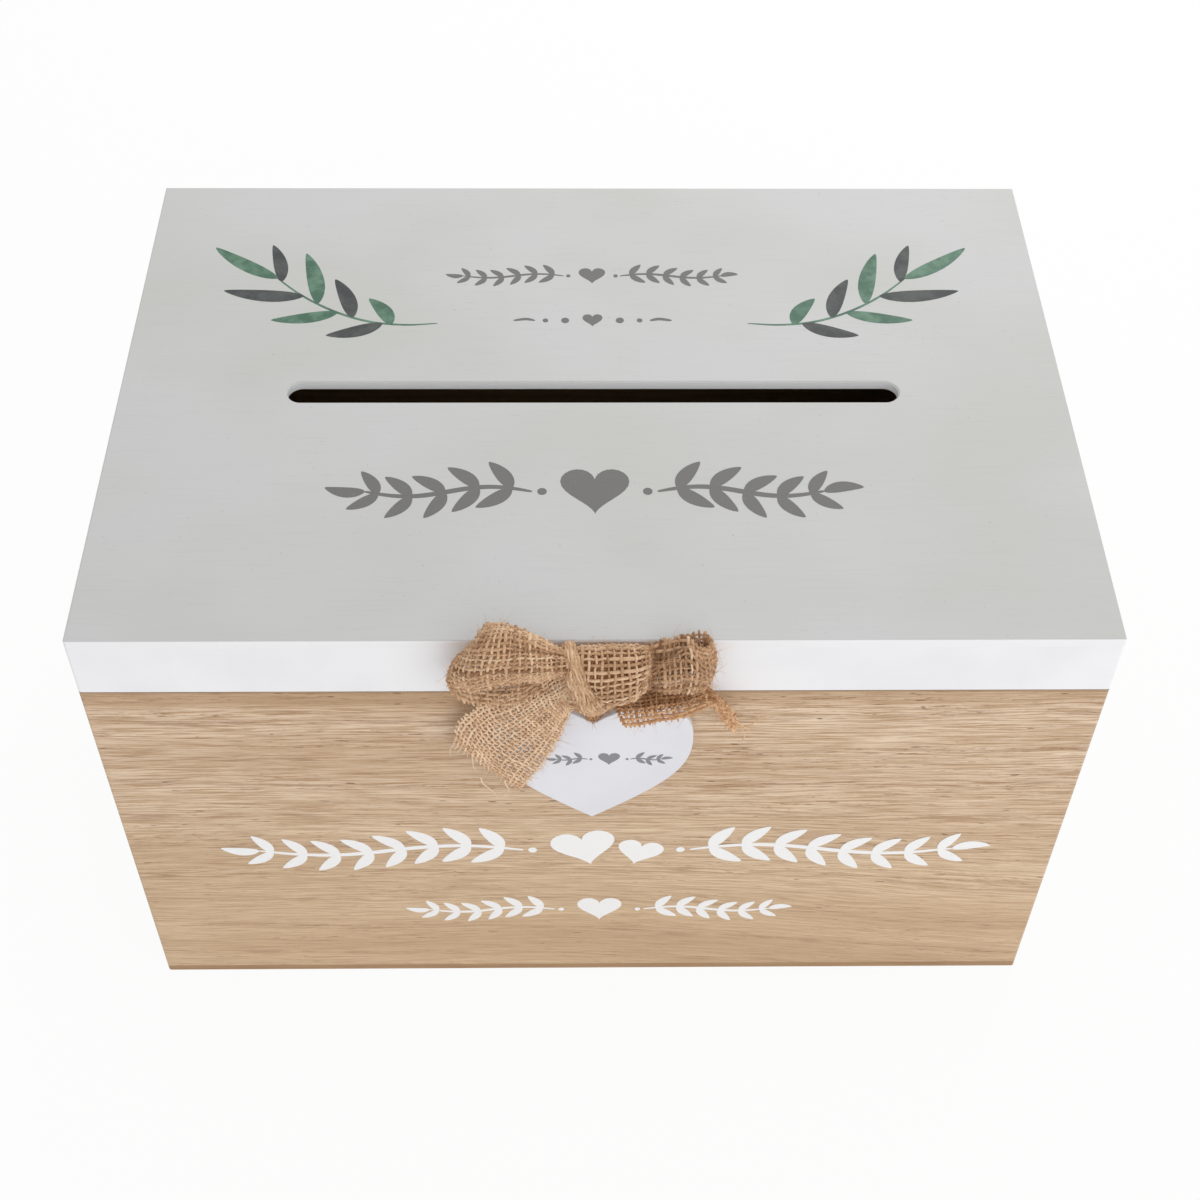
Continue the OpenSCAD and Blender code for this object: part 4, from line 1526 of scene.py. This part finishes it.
@dataclass
class BoxBody:
    """The veneered sides and the base board, with the painted ornament on the front."""

    front: Box = field(default_factory=lambda: corners("front_panel"))
    side: Box = field(default_factory=lambda: corners("left_panel"))
    garland_z: float = 75.0
    row_z: float = 39.0
    nails: Metal = Metal("nail steel", paint(172, 170, 166), paint(120, 114, 106), 0.4, 0.7)

    def build(self) -> list[bpy.types.Object]:
        """Dresses the frame's panels and lays the ornament on the front."""
        top = self.front[1][2]
        across = OakVeneer("oak veneer across", Grain.ACROSS, -self.front[0][1], top).material()
        along = OakVeneer("oak veneer along", Grain.FORE_AND_AFT, -self.side[0][0], top).material()
        for side, finish in (("front", across), ("back", across), ("left", along), ("right", along)):
            dress(f"{side}_panel", finish)
        dress("base_board", BoardEdge("base board").material())
        dress("base_nails", self.nails.material())
        white = Ink("white ornament paint", paint(246, 246, 246), paint(226, 220, 210), 0.15).material()
        made = [self.garland().build(white), self.small_row().build(white)]
        for piece in made:
            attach(piece, "box")
        return made

    def garland(self) -> Motif:
        """Draws the wide white garland on the front: twigs that meet at a pair of hearts."""
        m = Motif("front_garland", (4.0, self.front[0][1], self.garland_z), (1, 0, 0), (0, 0, 1))
        m.heart(-7.0, 0.5, 21.0, 12)
        m.heart(10.5, -2.0, 15.0, -14)
        Laurel(start=27.0, end=124.0, swing=2.6, pairs=8, leaf=13.0, width=5.0, weight=1.9).draw_both(m)
        return m

    def small_row(self) -> Motif:
        """Draws the short row under the garland: a heart between two twigs."""
        m = Motif("front_small_row", (2.0, self.front[0][1], self.row_z), (1, 0, 0), (0, 0, 1))
        m.heart(0.0, 0.0, 15.0)
        Laurel(start=15.0, end=65.0, swing=1.4, pairs=6, leaf=8.5, width=3.4, weight=1.3).draw_both(m)
        return m


@dataclass
class Lid:
    """The lid: painted board, white rims and its printed ornaments."""

    board: Box = field(default_factory=lambda: corners("lid_top_board"))
    side_rim: Box = field(default_factory=lambda: corners("lid_left_rim"))
    front_rim: Box = field(default_factory=lambda: corners("lid_front_rim"))
    wide_y: float = -46.0
    small_y: float = 56.0
    lower_row: float = -23.0

    def build(self) -> list[bpy.types.Object]:
        """Dresses the lid's boards and lays the ornaments on its top."""
        dress("lid_top_board", LidPaint("washed grey paint", *self.board).material())
        hollow = (0.2 - self.side_rim[1][0], 0.2 - self.front_rim[1][1])
        rim = WhitePaint("white rim paint", hollow=hollow, fleck=0.0).material()
        for side in ("front", "back", "left", "right"):
            dress(f"lid_{side}_rim", rim)
        grey = Ink("grey print", paint(112, 111, 108), paint(140, 139, 136), 0.4).material()
        green = Ink("green wash", paint(66, 104, 84), paint(112, 146, 124), 0.3, 0.8).material()
        dark = Ink("dark leaf wash", paint(58, 60, 62), paint(92, 98, 94), 0.3, 0.6).material()
        made = [self.wide_motif().build(grey), self.small_motif().build(grey)]
        for way in (-1, 1):
            made.append(self.sprig(way).build(green, dark))
        for piece in made:
            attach(piece, "lid")
        return made

    def wide_motif(self) -> Motif:
        """Draws the wide grey motif in front of the slot."""
        m = Motif("lid_wide_motif", (0.0, self.wide_y, self.board[1][2]), (1, 0, 0), (0, 1, 0))
        m.heart(0.0, 0.0, 21.0)
        Laurel(start=19.0, end=81.0, swing=2.0, pairs=5, leaf=13.0, width=5.0, weight=1.9).draw_both(m)
        return m

    def small_motif(self) -> Motif:
        """Draws the small grey rows behind the slot."""
        m = Motif("lid_small_motif", (0.0, self.small_y, self.board[1][2]), (1, 0, 0), (0, 1, 0))
        m.heart(0.0, 0.0, 9.0)
        twig = Laurel(start=9.5, end=49.0, swing=1.0, pairs=6, leaf=6.2, width=2.4, weight=0.95)
        row = self.lower_row
        for way in (-1, 1):
            twig.draw(m, way)
            m.dot(way * 9.0, row, 1.3)
            m.dot(way * 15.5, row, 0.9)
            m.stroke([(way * 19.0, row), (way * 22.0, row + 0.7), (way * 26.0, row)], 1.1)
        m.heart(0.0, row, 6.5)
        return m

    def sprig(self, way: int) -> Motif:
        """Draws a leaf sprig, its tip to the outer back corner.

        Args:
            way: -1 for the left one or 1 for the right one.

        Returns:
            The drawing.
        """
        side = "left" if way < 0 else "right"
        m = Motif(f"lid_{side}_sprig", (0.0, 0.0, self.board[1][2]), (1, 0, 0), (0, 1, 0))
        stem = [(51, 31.5), (62, 30.8), (74, 32.6), (86, 38.0), (97, 46.0), (106, 55.0)]
        m.stroke([(way * x, y) for x, y in stem], 0.95)
        # Each leaf's foot in x and y, then its length, width, turn, bow and ink.
        leaves = [
            (66.0, 31.0, 15.5, 5.6, 58.0, 0.10, 0),
            (69.0, 31.4, 19.0, 5.8, -18.0, -0.08, 1),
            (79.0, 34.4, 21.0, 5.8, 70.0, 0.07, 1),
            (84.0, 37.0, 22.0, 5.4, -10.0, -0.06, 0),
            (91.0, 41.6, 27.0, 6.0, 77.0, 0.05, 0),
            (96.0, 45.4, 27.0, 6.2, 6.0, -0.06, 1),
            (104.0, 53.0, 20.0, 5.0, 76.0, 0.06, 1),
            (105.6, 54.6, 28.0, 5.8, 36.0, -0.05, 0),
        ]
        for x, y, length, width, turn, bow, finish in leaves:
            m.leaf(way * x, y, length, width, m.mirrored(turn, way), bow * way, finish)
        return m


@dataclass
class Hinges:
    """Two butt hinges on the back: leaves, knuckles, pins and screws."""

    brass: Metal = Metal("aged brass", paint(196, 160, 96), paint(128, 96, 52), 0.33, 0.7)
    screw: Metal = Metal("brass screw", paint(204, 172, 108), paint(134, 102, 58), 0.28, 0.5)

    def build(self) -> None:
        """Dresses the hardware."""
        brass, screw = self.brass.material(), self.screw.material()
        for side in ("left", "right"):
            for part in ("body_leaf", "lid_leaf", "pin"):
                dress(f"hinge_{side}_{part}", brass)
            for part in ("body_screws", "lid_screws"):
                dress(f"hinge_{side}_{part}", screw)


@dataclass
class HeartTag:
    """The white wooden heart, with softened edges and a small printed row."""

    soften: float = 0.35
    print_z: float = 130.0

    def build(self) -> list[bpy.types.Object]:
        """Softens the frame's heart and prints on it."""
        white = WhitePaint("heart paint", paint(231, 231, 236), paint(219, 219, 226), fleck=0.05).material()
        bm = bmesh.new()
        bm.from_mesh(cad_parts["heart_tag"].data)
        bmesh.ops.remove_doubles(bm, verts=bm.verts, dist=1e-7)
        bmesh.ops.dissolve_limit(bm, angle_limit=0.01, verts=bm.verts, edges=bm.edges)
        rim = [e for e in bm.edges if abs(e.calc_face_angle(0.0)) > 1.2]
        bmesh.ops.bevel(
            bm, geom=rim, offset=self.soften * MM, offset_type="OFFSET", segments=3, profile=0.5,
            affect="EDGES", material=-1,
        )
        for f in bm.faces:
            f.smooth = abs(f.normal.y) < 0.99
        heart = finished("heart_painted", bm, white)
        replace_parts(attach(heart, "heart"), "heart_tag")
        grey = Ink("heart print", paint(138, 138, 142), paint(165, 165, 168), 0.3).material()
        face_y = corners("heart_tag")[0][1]
        m = Motif("heart_small_row", (4.0, face_y, self.print_z), (1, 0, 0), (0, 0, 1))
        m.heart(0.0, 0.0, 6.6)
        Laurel(start=6.4, end=19.0, swing=0.4, pairs=3, leaf=3.7, width=1.5, weight=0.6).draw_both(m)
        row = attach(m.build(grey), "heart")
        return [heart, row]


def main() -> None:
    """Builds every part in order and reports each piece."""
    studio = Studio()
    studio.build()
    pieces: list[bpy.types.Object] = []
    for part in (BoxBody(), Lid(), HeartTag(), Bow()):
        made = part.build()
        pieces += made
        for piece in made:
            log.info("%s: %s, %d vertices", type(part).__name__, piece.name, len(piece.data.vertices))
    Hinges().build()
    log.info("%d pieces", len(pieces))


if __name__ == "__main__":
    main()
